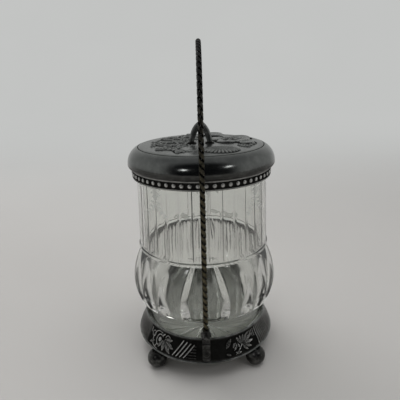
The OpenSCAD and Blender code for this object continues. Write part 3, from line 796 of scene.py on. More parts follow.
def etch_ribbon(etching, start, end, height):
    """A loose frosted ribbon with wavy edges, low on the far side of the wall."""
    turn = np.linspace(math.radians(start), math.radians(end), 60)
    wave = 1.6 * np.sin(turn * 9) + 0.9 * np.sin(turn * 23 + 1)
    half = 2.2 + 0.9 * np.sin(turn * 15) + 0.6 * np.sin(turn * 31)
    half = half * between(np.minimum(turn - turn[0], turn[-1] - turn), 0, 0.06)
    rows = [height + wave + half * v for v in (-1, -0.5, 0, 0.5, 1)]
    depth = [np.full(60, d) for d in (0.05, 0.6, 0.75, 0.6, 0.05)]
    etching.patch(np.tile(turn * ETCH_R, 5), np.concatenate(rows), np.concatenate(depth), 60)


# ---------- Stamped relief ----------


class Relief:
    """Stamped height over a flat field, in millimetres, built up from petals, leaves, bars and knobs."""

    def __init__(self, low, high, step, gap):
        self.low, self.step, self.gap = low, step, gap
        places = [np.arange(low[k], high[k] + step, step) for k in (0, 1)]
        self.x, self.y = np.meshgrid(*places, indexing="ij")
        self.height = np.zeros_like(self.x)

    def local(self, x0, y0, lean):
        """Places along and across a form that starts at (x0, y0) and leans in degrees."""
        c, s = math.cos(math.radians(lean)), math.sin(math.radians(lean))
        dx, dy = self.x - x0, self.y - y0
        return dx * c + dy * s, -dx * s + dy * c

    def off(self, x0, y0):
        return np.hypot(self.x - x0, self.y - y0)

    def lay(self, height, clear=None):
        """Adds a form; clear is its distance outside its edge, where what lies under it is pressed down."""
        if clear is not None:
            self.height = self.height * between(clear, 0, self.gap)
        self.height = np.maximum(self.height, height)

    def leaf(self, x0, y0, lean, length, width, rise, curl=0.0, ribs=5, hollow=0.0):
        """A pointed leaf with a midrib and side veins; a hollow one keeps a raised outline only."""
        u, v = self.local(x0, y0, lean)
        t = u / length
        v = v - curl * length * t * t
        # two arcs that meet in a point at each end, with a slightly scalloped edge
        half = width / 2 * (np.sqrt(np.clip(0.390625 - (np.clip(t, 0, 1) - 0.5) ** 2, 0, 1)) - 0.375) / 0.25
        half = np.clip(half, 0, None) * (1 - 0.12 * np.abs(np.sin(t * ribs * math.pi))) + 1e-3
        off = np.abs(v) / half
        dome = np.sqrt(np.clip(1 - off ** 3, 0, 1))
        veins = 1 - 0.50 * (0.5 + 0.5 * np.cos(2 * math.pi * (t * ribs - 1.1 * off))) * (off > 0.15)
        veins = veins * (1 - 0.35 * np.exp(-((off - 0.22) / 0.10) ** 2))
        outline = np.exp(-((off - 0.80) / 0.26) ** 2) + np.exp(-(off / 0.20) ** 2)
        body = rise * dome * ((1 - hollow) * veins + hollow * np.clip(outline, 0.15, 1))
        past = np.maximum(-t, t - 1) * length
        self.lay(np.where((t > 0) & (t < 1) & (off < 1), body, 0), np.maximum(np.abs(v) - half, past))

    def petal(self, x0, y0, lean, radius, rise, tilt=0.2):
        """A broad round petal: steep edge, cupped middle, folds towards its root, one side over the next."""
        u, v = self.local(x0, y0, lean)
        off = np.hypot(u, v) / radius
        steep = 1 - between(off, 1, 0.80)
        edge = np.sqrt(1 - steep * steep)
        cup = 0.74 + 0.26 * between(off, 0.25, 0.80)
        fold = 0.5 + 0.5 * np.cos(2 * math.pi * v / (0.36 * radius))
        folds = 1 - 0.20 * fold * np.clip(0.6 - u / radius, 0, 1)
        lift = 1 - tilt * 0.5 * (1 - v / radius)
        self.lay(np.where(off < 1, rise * edge * cup * folds * lift, 0), (off - 1) * radius)

    def whorl(self, x, y, reach, turn, radius, rise, tilt, order=range(5)):
        """Five petals round a middle, laid in the given order."""
        for k in order:
            lean = turn + 72 * k
            a = math.radians(lean)
            self.petal(x + reach * math.cos(a), y + reach * math.sin(a), lean, radius, rise, tilt)

    def blossom(self, x, y, reach, turn, radius, rise, order=range(5)):
        """An open flower: five broad petals, and a heart of small ones round a seeded button."""
        top = 1.2 * rise
        self.whorl(x, y, reach, turn, radius, rise, 0.45, order)
        self.whorl(x, y, 0.52 * radius, turn + 36, 0.46 * radius, 0.94 * top, 0.35)
        self.knob(x, y, 0.24 * radius, top)
        for k in range(7):
            a = 2 * math.pi * k / 7
            self.knob(x + 0.33 * radius * math.cos(a), y + 0.33 * radius * math.sin(a), 0.09 * radius, top)

    def knob(self, x0, y0, radius, rise):
        off = self.off(x0, y0) / radius
        self.lay(rise * np.sqrt(np.clip(1 - off ** 2, 0, 1)))

    def bar(self, x0, y0, x1, y1, width, rise):
        """A round-backed bar with eased ends."""
        u, v = self.local(x0, y0, math.degrees(math.atan2(y1 - y0, x1 - x0)))
        end = between(np.minimum(u, math.hypot(x1 - x0, y1 - y0) - u), 0, 0.6 * width)
        self.lay(rise * np.sqrt(np.clip(1 - (2 * v / width) ** 2, 0, 1)) * end)

    def stem(self, points, width, rise):
        for (xa, ya), (xb, yb) in zip(points[:-1], points[1:]):
            self.bar(xa, ya, xb, yb, width, rise)
            self.knob(xb, yb, width / 2, rise)

    def curl(self, x, y, radius, start, sweep, width, rise, tighten=0.0):
        """A ridge along an arc, in degrees, that may tighten like a tendril."""
        points = []
        for t in np.linspace(0, 1, 10):
            a = math.radians(start + sweep * t)
            r = radius * (1 - tighten * t)
            points.append((x + r * math.cos(a), y + r * math.sin(a)))
        self.stem(points, width, rise)

    def seeds(self, x, y, radius, pitch, rise):
        """A round patch of small grains."""
        off = self.off(x, y) / radius
        grain = np.cos(2 * math.pi * (self.x + 0.5 * self.y) / pitch) * np.cos(2 * math.pi * self.y / pitch)
        self.lay(np.where(off < 1, rise * (0.62 + 0.38 * grain) * np.sqrt(np.clip(1 - off ** 4, 0, 1)), 0))

    def around(self, reach):
        """Mean height of what surrounds each place."""
        mean = self.height
        size = max(1, int(round(reach / self.step)))
        for axis in (0, 1, 0, 1):
            total = sum(np.roll(mean, k, axis) for k in range(-size, size + 1))
            mean = total / (2 * size + 1)
        return mean

    def proud(self, reach, depth):
        """How each place stands to what surrounds it: 0 in a hollow, 0.5 on plain ground, 1 on a crest."""
        return np.clip(0.5 + (self.height - self.around(reach)) / depth, 0, 1)

    def at(self, field, x, y):
        """The field's value at any places, in straight lines between its points."""
        u = np.clip((x - self.low[0]) / self.step, 0, field.shape[0] - 1.001)
        v = np.clip((y - self.low[1]) / self.step, 0, field.shape[1] - 1.001)
        i, j = u.astype(int), v.astype(int)
        a, b = u - i, v - j
        near = (1 - b) * field[i, j] + b * field[i, j + 1]
        far = (1 - b) * field[i + 1, j] + b * field[i + 1, j + 1]
        return (1 - a) * near + a * far


# ---------- Lid: radii, and heights over its top ----------

LID_R, SHOULDER_R, SHOULDER_H = 67.3, 53.3, 15.0
ENGRAVED_R, ENGRAVED_HALF, ENGRAVED_DEPTH = 57.3, 0.34, 0.42
ORNAMENT_R, FIELD_R = 54.4, 56.0
ROLL_R, COLLAR_R = 4.15, 61.6
FLOWER_H, LEAF_H = 2.4, 1.6
LOOP_FOOT_X = 8.2

# (x, y, lean in degrees, length) from the middle of the lid
LEAVES = (
    (-13.8, -8.0, 200, 14.9), (-25.9, -9.9, 165, 14.9), (-15.8, -15.8, 235, 14.9), (-24.9, -24.1, 200, 14.9),
    (-13.1, 8.2, 160, 14.9), (-26.0, 7.9, 190, 14.9), (-25.8, 16.1, 140, 14.9), (-11.9, 17.0, 120, 14.9),
    (-20.4, 28.0, 150, 13.9), (-3.9, 19.9, 100, 10.7), (-16.2, -31.8, 255, 14.4), (32.9, -14.0, -50, 14.9))
LEAFLETS = ((-37, -3), (-29, 1), (-20, 1), (-36, 25), (-27, 24), (-17, 22), (-33, -14), (-38, 8))
BERRIES = (
    (-34.4, -21.2), (-30.4, -25.2), (-26.0, -29.2), (-22.3, -33.0), (-20.1, -38.0), (-36.0, -6.0),
    (-31.6, 2.8), (-24.0, 6.0), (-18.6, 5.0), (-30.0, 32.0), (-24.5, 35.4), (-18.2, 36.2),
    (-14.0, -13.6), (-19.4, -17.8),
    (33.5, 32.5), (38.0, 28.0), (41.5, 23.0), (45.0, 10.0), (46.4, 4.2), (46.8, -12.0), (43.6, -17.6))


def lid_fan(relief, x, y, rise):
    """A seeded fan with ribs round its lower edge."""
    relief.seeds(x, y, 15.2, 2.6, 0.62 * rise)
    for k in range(11):
        a = math.radians(-150 + 12.5 * k)
        c, s = math.cos(a), math.sin(a)
        relief.bar(x + 8.5 * c, y + 2 + 8.5 * s, x + 16.2 * c, y + 16.2 * s, 2.1, 0.68 * rise)


def strewn_seeds(relief, count, rise):
    """Small seeds strewn between the leaves on the left."""
    random = np.random.default_rng(7)
    for _ in range(count):
        a, r = math.radians(random.uniform(128, 258)), random.uniform(13, 47)
        radius, share = random.uniform(1.0, 1.6), random.uniform(0.6, 1.0)
        relief.knob(r * math.cos(a), r * math.sin(a), radius, share * rise)


def plain_oval(relief, x, y, rise):
    """A plain oval field, with a cut line before it."""
    off = np.hypot((relief.x - x) / 13.0, (relief.y - y) / 12.2)
    relief.lay(np.where(off < 1, 0.55 * rise * np.sqrt(np.clip(1 - off ** 10, 0, 1)), 0))
    relief.curl(x, y, 14.2, 205, 130, 0.9, 0.4 * rise)


def lid_ornament(rise):
    """Flowers and leaves laid round the loop, with a plain oval in front of it and a plain margin."""
    relief = Relief((-57, -57), (57, 57), 0.25, 0.9)
    high, low = FLOWER_H * rise, LEAF_H * rise
    # large blossom on the right, with a broad petal behind it and a bud before it
    relief.petal(14.0, 42.0, 75, 9.1, 1.1 * high)
    relief.blossom(29.0, 14.8, 10.7, 28, 9.6, high, (1, 2, 0, 3, 4))
    relief.petal(41.8, -5.0, -20, 6.9, 0.9 * high)
    # smaller blossom behind the loop
    relief.blossom(-9.9, 39.8, 5.3, 20, 4.8, 0.85 * high)
    lid_fan(relief, 16.9, -33.8, high)
    # veined leaves, most of them on the left, with leaflets and berries between them
    for i, (x, y, lean, length) in enumerate(LEAVES):
        relief.leaf(x, y, lean, length, length / 2, low * (1 - 0.06 * (i % 3)))
    for i, (x, y) in enumerate(LEAFLETS):
        relief.leaf(x, y, 200 - 37 * i, 7.5, 3.6, 0.9 * low, 0.06, 4)
        relief.leaf(x, y, 75 - 23 * i, 6.4, 3.2, 0.8 * low, -0.06, 4)
    for i, (x, y) in enumerate(BERRIES):
        relief.knob(x, y, 1.9 if i % 3 else 2.3, (0.95 if i % 2 else 0.8) * low)
    strewn_seeds(relief, 60, low)
    plain_oval(relief, -5.0, -27.5, low)
    # the margin and the places of the loop's feet stay flat
    feet = np.minimum(relief.off(LOOP_FOOT_X, 0), relief.off(-LOOP_FOOT_X, 0))
    relief.height *= between(relief.off(0, 0), ORNAMENT_R, ORNAMENT_R - 1) * between(feet, 4.6, 5.8)
    return relief


def shoulder_at(r):
    """Height of the lid's round shoulder."""
    out = max(0.0, r - SHOULDER_R) / (LID_R - SHOULDER_R)
    return SHOULDER_H * math.sqrt(1 - out * out) - SHOULDER_H


def lid_skin(columns, rise):
    """The lid's skin, from its middle over the rim, and back inside."""
    relief = lid_ornament(rise)
    # the ground between close-set forms is blackened: partly tarnish that no cloth reaches, partly painted
    # shade
    crowded_tarnish_and_shade = between(relief.around(3.0), 0.18, 0.48) * between(relief.height, 0.45, 0)
    proud = relief.proud(1.1, 1.2) - 0.42 * crowded_tarnish_and_shade
    skin = Turned(columns, TOP_Z)
    radii = [0.05] + spread(0.9, 53.0, 104) + spread(53.6, 56.6, 5)
    radii += spread(ENGRAVED_R - 0.45, ENGRAVED_R + 0.45, 6) + spread(58.1, 60.5, 4)
    for r in radii:
        x, y = r * np.sin(skin.angle), -r * np.cos(skin.angle)
        groove = math.exp(-((r - ENGRAVED_R) / ENGRAVED_HALF) ** 2)
        up, mark = 0.0, 0.5
        if r < FIELD_R:
            up, mark = relief.at(relief.height, x, y), relief.at(proud, x, y)
        skin.row(r, shoulder_at(r) + up - ENGRAVED_DEPTH * groove, mark - 0.5 * groove)
    skin.arc(SHOULDER_R, -SHOULDER_H, LID_R - SHOULDER_R, SHOULDER_H, 58, 4, 16, 0.5)
    # the lower half of the roll is marked a little low, which paints shade under the rim
    skin.arc(LID_R - ROLL_R, -SHOULDER_H, ROLL_R, ROLL_R, -2, -90, 10, 0.36)
    # inside, one thickness of the sheet in
    roll = LID_R - ROLL_R
    skin.profile([(COLLAR_R, -LID_HANG), (COLLAR_R, 1 - LID_HANG), (roll, 1 - LID_HANG)], 0.45)
    skin.arc(roll, -SHOULDER_H, ROLL_R - 1, ROLL_R - 1, -60, 0, 4, 0.45)
    skin.arc(SHOULDER_R, -SHOULDER_H, LID_R - SHOULDER_R - 1, SHOULDER_H - 1, 8, 90, 10, 0.45)
    skin.profile([(r, -1) for r in (30, 10, 0.05)], 0.45)
    return skin


# ---------- Ring: radii, and heights over its bottom ----------

RING_H, RING_BAND, RING_T = 20.7, 1.8, 1.0
RING_TOP_R, RING_LOW_R, FLANGE_R = 60.3, 67.3, 60.9
RING_SWEEP = (RING_LOW_R - RING_TOP_R) / 2
RING_RISE = RING_H - 2 * RING_BAND

# radius on which the ornament's millimetres are measured, and a little over a quarter round there
ORNAMENT_TURN_R = 64.0
HALF_PANEL = 101


def ring_at(z):
    """Outer radius of the ogee ring."""
    return RING_TOP_R + RING_SWEEP * (1 + np.cos(np.pi * between(z, RING_BAND, RING_H - RING_BAND)))


def open_flower(relief, rise):
    """An open flower with curled petals and hanging leaves."""
    relief.knob(-48.0, 11.6, 2.1, rise)
    relief.curl(-48.0, 11.4, 4.4, 40, 250, 0.9, 0.8 * rise)
    relief.curl(-49.5, 10.8, 7.6, 60, 215, 0.9, 0.75 * rise)
    relief.curl(-53.5, 7.0, 3.0, 20, -250, 0.8, 0.7 * rise, 0.4)
    relief.bar(-45.8, 15.2, -42.6, 18.0, 1.5, rise)
    relief.curl(-38.6, 14.6, 3.2, 190, -230, 0.8, 0.8 * rise, 0.3)
    relief.curl(-44.5, 15.0, 6.6, 330, 75, 0.7, 0.6 * rise)
    for lean, length, width in ((-96, 9.6, 3.4), (-52, 12.6, 4.0), (-27, 12.0, 3.4), (6, 9.0, 3.0)):
        relief.leaf(-42.2, 13.2, lean, length, width, rise, 0.05, 3, 0.85)
    relief.leaf(-44.0, 12.0, -128, 8.0, 3.0, 0.9 * rise, 0.1, 3, 0.8)
    relief.curl(-57.8, 13.2, 2.4, 0, 360, 0.8, 0.55 * rise)
    relief.bar(-62.6, 12.6, -62.2, 17.6, 0.9, 0.7 * rise)
    relief.leaf(-60.0, 5.2, 30, 6.0, 2.6, 0.6 * rise, 0.0, 3, 0.7)


def slanting_bars(relief, rise):
    """Four slanting bars, and faint rules beside them."""
    for k in range(4):
        relief.bar(-31.4 + 3.5 * k, 3.6, -21.4 + 3.5 * k, 17.8 - 0.9 * k, 1.0, rise * (1.0 - 0.1 * k))
    for z in (4.6, 6.8, 9.0, 11.2, 13.4):
        relief.bar(-20.5 + 0.72 * (z - 3.6), z, -9.0, z, 0.6, 0.28 * rise)


def leaf_spray(relief, rise):
    """A spray of narrow leaves on a stem, with a single leaf and small sprigs before it."""
    relief.leaf(18.2, 10.4, 48, 9.6, 3.8, 0.85 * rise, 0.0, 4, 0.6)
    relief.leaf(17.6, 6.4, -20, 5.0, 2.2, 0.6 * rise, 0.0, 3, 0.6)
    spray = ((16, 15.0), (36, 12.0), (-4, 13.5), (-26, 11.0), (-50, 8.0), (62, 8.2), (92, 7.6), (122, 8.4))
    for lean, length in spray:
        relief.leaf(34.6, 10.4, lean, length, 2.7, rise, 0.03, 3, 0.75)
    relief.stem([(26.5, 4.0), (30.0, 6.6), (34.6, 10.4)], 0.9, 0.8 * rise)
    sprigs = ((25.6, 7.8), (28.4, 9.0), (29.6, 3.9), (32.6, 5.2), (26.8, 13.0), (30.4, 12.2))
    for k, (x, y) in enumerate(sprigs):
        relief.leaf(x, y, 40 + 50 * k, 3.8, 1.9, 0.9 * rise, 0.0, 2, 0.3)
    for k in range(4):
        relief.bar(44.6 + 2.3 * k, 13.6 - 0.8 * k, 44.6 + 2.3 * k, 18.2, 0.7, 0.55 * rise)


def reeding(relief, rise):
    """A border line, and the plain upright reeds beside it."""
    relief.bar(54.4, 2.4, 54.4, 18.4, 1.0, 0.9 * rise)
    for k in range(8):
        relief.bar(57.6 + 2.7 * k, 2.6, 57.6 + 2.7 * k, 18.2, 1.9, 0.34 * rise)


def ring_ornament(rise):
    """Stamped panels of half the ring, over millimetres round it and up it."""
    relief = Relief((-HALF_PANEL, 0), (HALF_PANEL, RING_H), 0.2, 0.3)
    for panel in (open_flower, slanting_bars, leaf_spray, reeding):
        panel(relief, rise)
    relief.height *= between(relief.y, 2.1, 2.8) * between(relief.y, 18.8, 18.1)
    return relief


def blackened(around, z, up, rise):
    """Where the ring's plain ground was left black: over its panels, but not on their raised forms."""
    panel = between(around, -66, -63) * between(around, 56, 54)
    return panel * between(z, 2.4, 3.2) * between(up, 0.3 * rise, 0)


def ring_skin(columns, rise):
    """The ring's skin: up its ornamented outside and down its plain inside to the flange."""
    relief = ring_ornament(rise)
    proud = relief.proud(0.8, 0.62)
    skin = Turned(columns, RING_Z)
    # the ornament runs twice round, so both halves fold onto one
    around = ((np.degrees(skin.angle) + 90) % 180 - 90) * ORNAMENT_TURN_R * math.pi / 180
    skin.profile([(FLANGE_R, 0), (67.0, 0), (67.25, 0.1), (RING_LOW_R, 0.3), (RING_LOW_R, 1.0)], 0.5)
    for z in spread(RING_BAND, RING_H - RING_BAND, 54):
        up = relief.at(relief.height, around, z)
        slope = RING_SWEEP * math.pi / RING_RISE * math.sin(math.pi * (z - RING_BAND) / RING_RISE)
        mark = relief.at(proud, around, z) - 0.30 * blackened(around, z, up, rise)
        skin.row(ring_at(z) + up / math.sqrt(1 + slope * slope), z, mark)
    inner_r = RING_TOP_R - RING_T
    skin.profile([(RING_TOP_R, 19.8), (RING_TOP_R, 20.5), (60.1, RING_H), (59.5, RING_H)], 0.5)
    skin.profile([(inner_r, 20.5), (inner_r, 18.9)], 0.5)
    # the inside was never blackened
    skin.profile([(ring_at(z) - RING_T, z) for z in spread(17.5, 1.0, 12)] + [(FLANGE_R, 1.0)], 0.78)
    skin.row(FLANGE_R, 0.0, 0.5)
    return skin


# ---------- Bail and loop ----------

WIRE_R = 1.05
WIRE_GAP = 0.05
RINGS_PER_TURN = 7
TWIST_PITCH = 12.3
STRAND_FULL = 1.55
LOOP_DEEP = 5.6

# half width, height and fullness of the loop's outer and inner arch
LOOP_OUTER, LOOP_INNER = (10.5, 18.6, 1.75), (5.9, 13.2, 1.2)


def rope_rows(phase, sides, per_turn=12):
    """Points of one wire of the rope, and how far out each stands from the lay."""
    wire_offset = (WIRE_R + WIRE_GAP) / math.cos(math.pi / RINGS_PER_TURN)
    rope_r = wire_offset + WIRE_R
    leg_r = WIRE_HIGH[1] - rope_r
    lay = math.atan(2 * math.pi * wire_offset / TWIST_PITCH)
    foot_z = WIRE_LOW[2]
    arch_z = WIRE_HIGH[2] - rope_r - leg_r
    leg = arch_z - foot_z
    long = 2 * leg + math.pi * leg_r
    s = np.linspace(0, long, int(round(per_turn * long / TWIST_PITCH)) + 1)
    arch = np.clip((s - leg) / leg_r - math.pi / 2, -math.pi / 2, math.pi / 2)
    z = np.where(s > long - leg, foot_z + long - s, arch_z + leg_r * np.cos(arch))
    z = np.where(s < leg, foot_z + s, z)
    none = np.zeros_like(s)
    centre = np.stack([none, leg_r * np.sin(arch), z], axis=-1)
    out = np.stack([none, np.sin(arch), np.cos(arch)], axis=-1)
    side = np.array([-1.0, 0.0, 0.0])
    turn = (phase + 2 * math.pi * s / TWIST_PITCH)[:, None]
    e1 = np.cos(turn) * out + np.sin(turn) * side
    e2 = np.cos(turn) * side - np.sin(turn) * out
    points, marks = [], []
    for k in range(sides):
        c = 2 * math.pi * k / sides
        a = wire_offset + WIRE_R * math.cos(c)
        b = STRAND_FULL * WIRE_R / math.cos(lay) * math.sin(c)
        # the strands together stay inside the rope's own round
        fit = min(1.0, rope_r / math.hypot(a, b))
        points.append(centre + fit * (a * e1 + b * e2))
        # the mark, 1 on a strand's outside and 0 towards the lay, carries the painted shade in the lay
        marks.append(none + 0.5 + 0.5 * math.cos(c))
    return np.stack(points, axis=1), np.stack(marks, axis=1)


def capped(points):
    """Faces of a bar's grid with both ends closed."""
    rows, columns = points.shape[:2]
    faces = grid_faces(rows, columns).tolist()
    faces.append(list(range(columns))[::-1])
    faces.append([(rows - 1) * columns + k for k in range(columns)])
    return faces


def loop_rows():
    """The cast loop: a pointed arch whose bar has rounded sides and swells at its feet."""
    t = np.linspace(0, math.pi, 61)
    c, s = np.cos(t), np.sin(t)

    def arch(half, high, n):
        return np.stack([half * np.sign(c) * np.abs(c) ** (2 / n), high * np.abs(s) ** (2 / n)], axis=-1)

    def rounded(share):
        return math.copysign(abs(share) ** 0.75, share)

    outer, inner = arch(*LOOP_OUTER), arch(*LOOP_INNER)
    middle, out = (outer + inner) / 2, (outer - inner) / 2
    rows = []
    sides = 20
    for k in range(sides):
        a = 2 * math.pi * k / sides
        point = middle + out * rounded(math.cos(a))
        y = np.full(len(t), LOOP_DEEP / 2 * rounded(math.sin(a)))
        rows.append(np.stack([point[:, 0], y, point[:, 1] + LOOP_Z], axis=-1))
    return np.stack(rows, axis=1)


# ---------- Operators ----------


class JAR_OT_glass(bpy.types.Operator):
    """Fluted glass jar with its ledge, lip and rayed base"""

    bl_idname = "biscuit_jar.glass"
    bl_label = "Glass jar"

    def execute(self, context):
        sizes = context.scene.biscuit_jar.glass
        skin = glass_skin(sizes.columns, sizes.edge_round, sizes.inner_rib, sizes.wall_line)
        glass = clear_glass("clear_glass", sizes.tint)
        make_piece("glass_body", skin.points(), "jar", glass, ["glass_jar"], marks=skin.marks())
        return {"FINISHED"}


class JAR_OT_etching(bpy.types.Operator):
    """Etched sprays, garlands, ribbons and cut lines on the jar's upright wall"""

    bl_idname = "biscuit_jar.etching"
    bl_label = "Etched sprays"

    def execute(self, context):
        etching, cuts = Etching(), Etching()
        for quarter in range(4):
            front = LINE_TURN + 90 * quarter
            for side in (-CUT_OFF, CUT_OFF):
                s = along_wall(front + side)
                cuts.line([(s, z) for z in spread(CUT_LOW_Z, CUT_TOP_Z, 8)], CUT_WIDTH)
            etch_spray(etching, front + 45)
            etch_garland(etching, front - 24, front + 24)
        for start, end, height in RIBBONS:
            etch_ribbon(etching, start, end, height)
        cuts.piece("cut_lines_painted_dark", cut_line("cut_lines_painted_dark"))
        etching.piece("etched_sprays", etched_glass("etched_glass", context.scene.biscuit_jar.glass.frost))
        return {"FINISHED"}


class JAR_OT_lid(bpy.types.Operator):
    """Stamped lid with its flowers, engraved line and rolled rim, and the collar inside it"""

    bl_idname = "biscuit_jar.lid"
    bl_label = "Lid"

    def execute(self, context):
        jar = context.scene.biscuit_jar
        skin = lid_skin(512, jar.ornament.lid_relief)
        plate = lid_finish("lid_plate", jar.plate.lid, jar.plate.worn)
        make_piece("lid_stamping", skin.points(), "lid", plate, ["lid_shell"],
                   marks=skin.marks())
        finish_node("lid_collar", tarnished_plate("collar_plate", jar.plate.lid, jar.plate.worn, rough=0.36))
        return {"FINISHED"}


class JAR_OT_bead_band(bpy.types.Operator):
    """Beaded gallery band under the lid"""

    bl_idname = "biscuit_jar.bead_band"
    bl_label = "Bead band"

    def execute(self, context):
        plate = context.scene.biscuit_jar.plate
        finish_node("bead_band", beaded_plate("bead_plate_painted_highlight", plate.ring, plate.beads, 63.3, 64.2))
        return {"FINISHED"}


class JAR_OT_finial(bpy.types.Operator):
    """Cast loop on the lid, its rosettes and its nuts"""

    bl_idname = "biscuit_jar.finial"
    bl_label = "Loop on the lid"

    def execute(self, context):
        plate = context.scene.biscuit_jar.plate
        cast = tarnished_plate("cast_loop", plate.lid, plate.worn, rough=0.36, grain=2.0, cloud=0.8)
        points = loop_rows()
        make_piece("lid_loop", points, "lid", cast, ["finial_loop"], faces=capped(points))
        finish_node("finial_rosettes", tarnished_plate("rosette_plate", plate.ring, plate.worn))
        finish_node("finial_nuts", cast)
        return {"FINISHED"}


class JAR_OT_ring(bpy.types.Operator):
    """Ornamented base ring with its two wires and the floor plate"""

    bl_idname = "biscuit_jar.ring"
    bl_label = "Base ring"

    def execute(self, context):
        jar = context.scene.biscuit_jar
        plate = jar.plate
        skin = ring_skin(1200, jar.ornament.ring_relief)
        stamped = tarnished_plate("ring_plate", plate.ring, plate.worn, rubbed=0.95, rough=0.27, cloud=0.14)
        make_piece("ring_stamping", skin.points(), "frame", stamped, ["base_ring"],
                   marks=skin.marks())
        wire = tarnished_plate("edge_wire", plate.lid, plate.worn, rough=0.28, cloud=0.8)
        finish_node("rim_wire", wire)
        finish_node("base_wire", wire)
        finish_node("floor_plate", olive_plate("floor_plate_olive", plate.olive))
        return {"FINISHED"}


class JAR_OT_feet(bpy.types.Operator):
    """Four ball feet"""

    bl_idname = "biscuit_jar.feet"
    bl_label = "Feet"

    def execute(self, context):
        plate = context.scene.biscuit_jar.plate
        ball = tarnished_plate("ball_plate", plate.ring, plate.worn, rough=0.26)
        for end in ("front_left", "front_right", "rear_left", "rear_right"):
            finish_node("foot_" + end, ball)
        return {"FINISHED"}


class JAR_OT_sockets(bpy.types.Operator):
    """Cast sockets of the bail, with their rivets"""

    bl_idname = "biscuit_jar.sockets"
    bl_label = "Sockets"

    def execute(self, context):
        plate = context.scene.biscuit_jar.plate
        cast = tarnished_plate("cast_socket", plate.ring, plate.worn, grain=2.5, cloud=0.4)
        for end in ("front", "rear"):
            finish_node("socket_" + end, cast)
            finish_node("rivet_" + end, cast)
        return {"FINISHED"}


class JAR_OT_bail(bpy.types.Operator):
    """Bail of two twisted wires"""

    bl_idname = "biscuit_jar.bail"
    bl_label = "Bail"

    def execute(self, context):
        plate = context.scene.biscuit_jar.plate
        finish = twisted_wire("bail_wire", plate.ring, plate.brass, 100, 270)
        for name, phase in (("a", 0.0), ("b", math.pi)):
            points, marks = rope_rows(phase, 14)
            make_piece("bail_strand_" + name, points, "frame", finish, ["bail_wire_" + name],
                       marks=marks, faces=capped(points))
        return {"FINISHED"}


# ---------- Stage ----------

CAMERA_AT = (-1.5, -364.3, 268.9)
CAMERA_PITCH, CAMERA_YAW, CAMERA_ROLL = 18.01, -0.09, -1.6
LENS_MM = 36

# in metres: places along the sweep's flat floor, radius of its bend, its top and half its width
SWEEP_FLAT = (-2.5, -1.0, -0.3, 0.3)
SWEEP_BEND, SWEEP_TOP, SWEEP_HALF = 0.9, 3.0, 3.0

# name, diameter in metres, place and aim of each lamp
KEY = ("key", 1.0, (-0.62, 0.75, 1.15), (0, 0, 0.12))
FILL = ("fill", 1.6, (0.2, -0.1, 1.7), (0, 0, 0.1))
WINDOW_LEFT = ("window_left", 0.24, (-0.62, -1.19, 0.86), (0, 0, 0.2))
WINDOW_RIGHT = ("window_right", 0.13, (0.80, -0.80, 0.95), (0, 0, 0.2))

ROOM, CEILING = (0.64, 0.645, 0.64, 1.0), (0.38, 0.385, 0.39, 1.0)
DARK_SIDE = (0.16, 0.16, 0.155, 1.0)
DARK_MIRRORED = (0.010, 0.011, 0.014, 1.0)
DARK_THROUGH_GLASS = (0.40, 0.405, 0.39, 1.0)


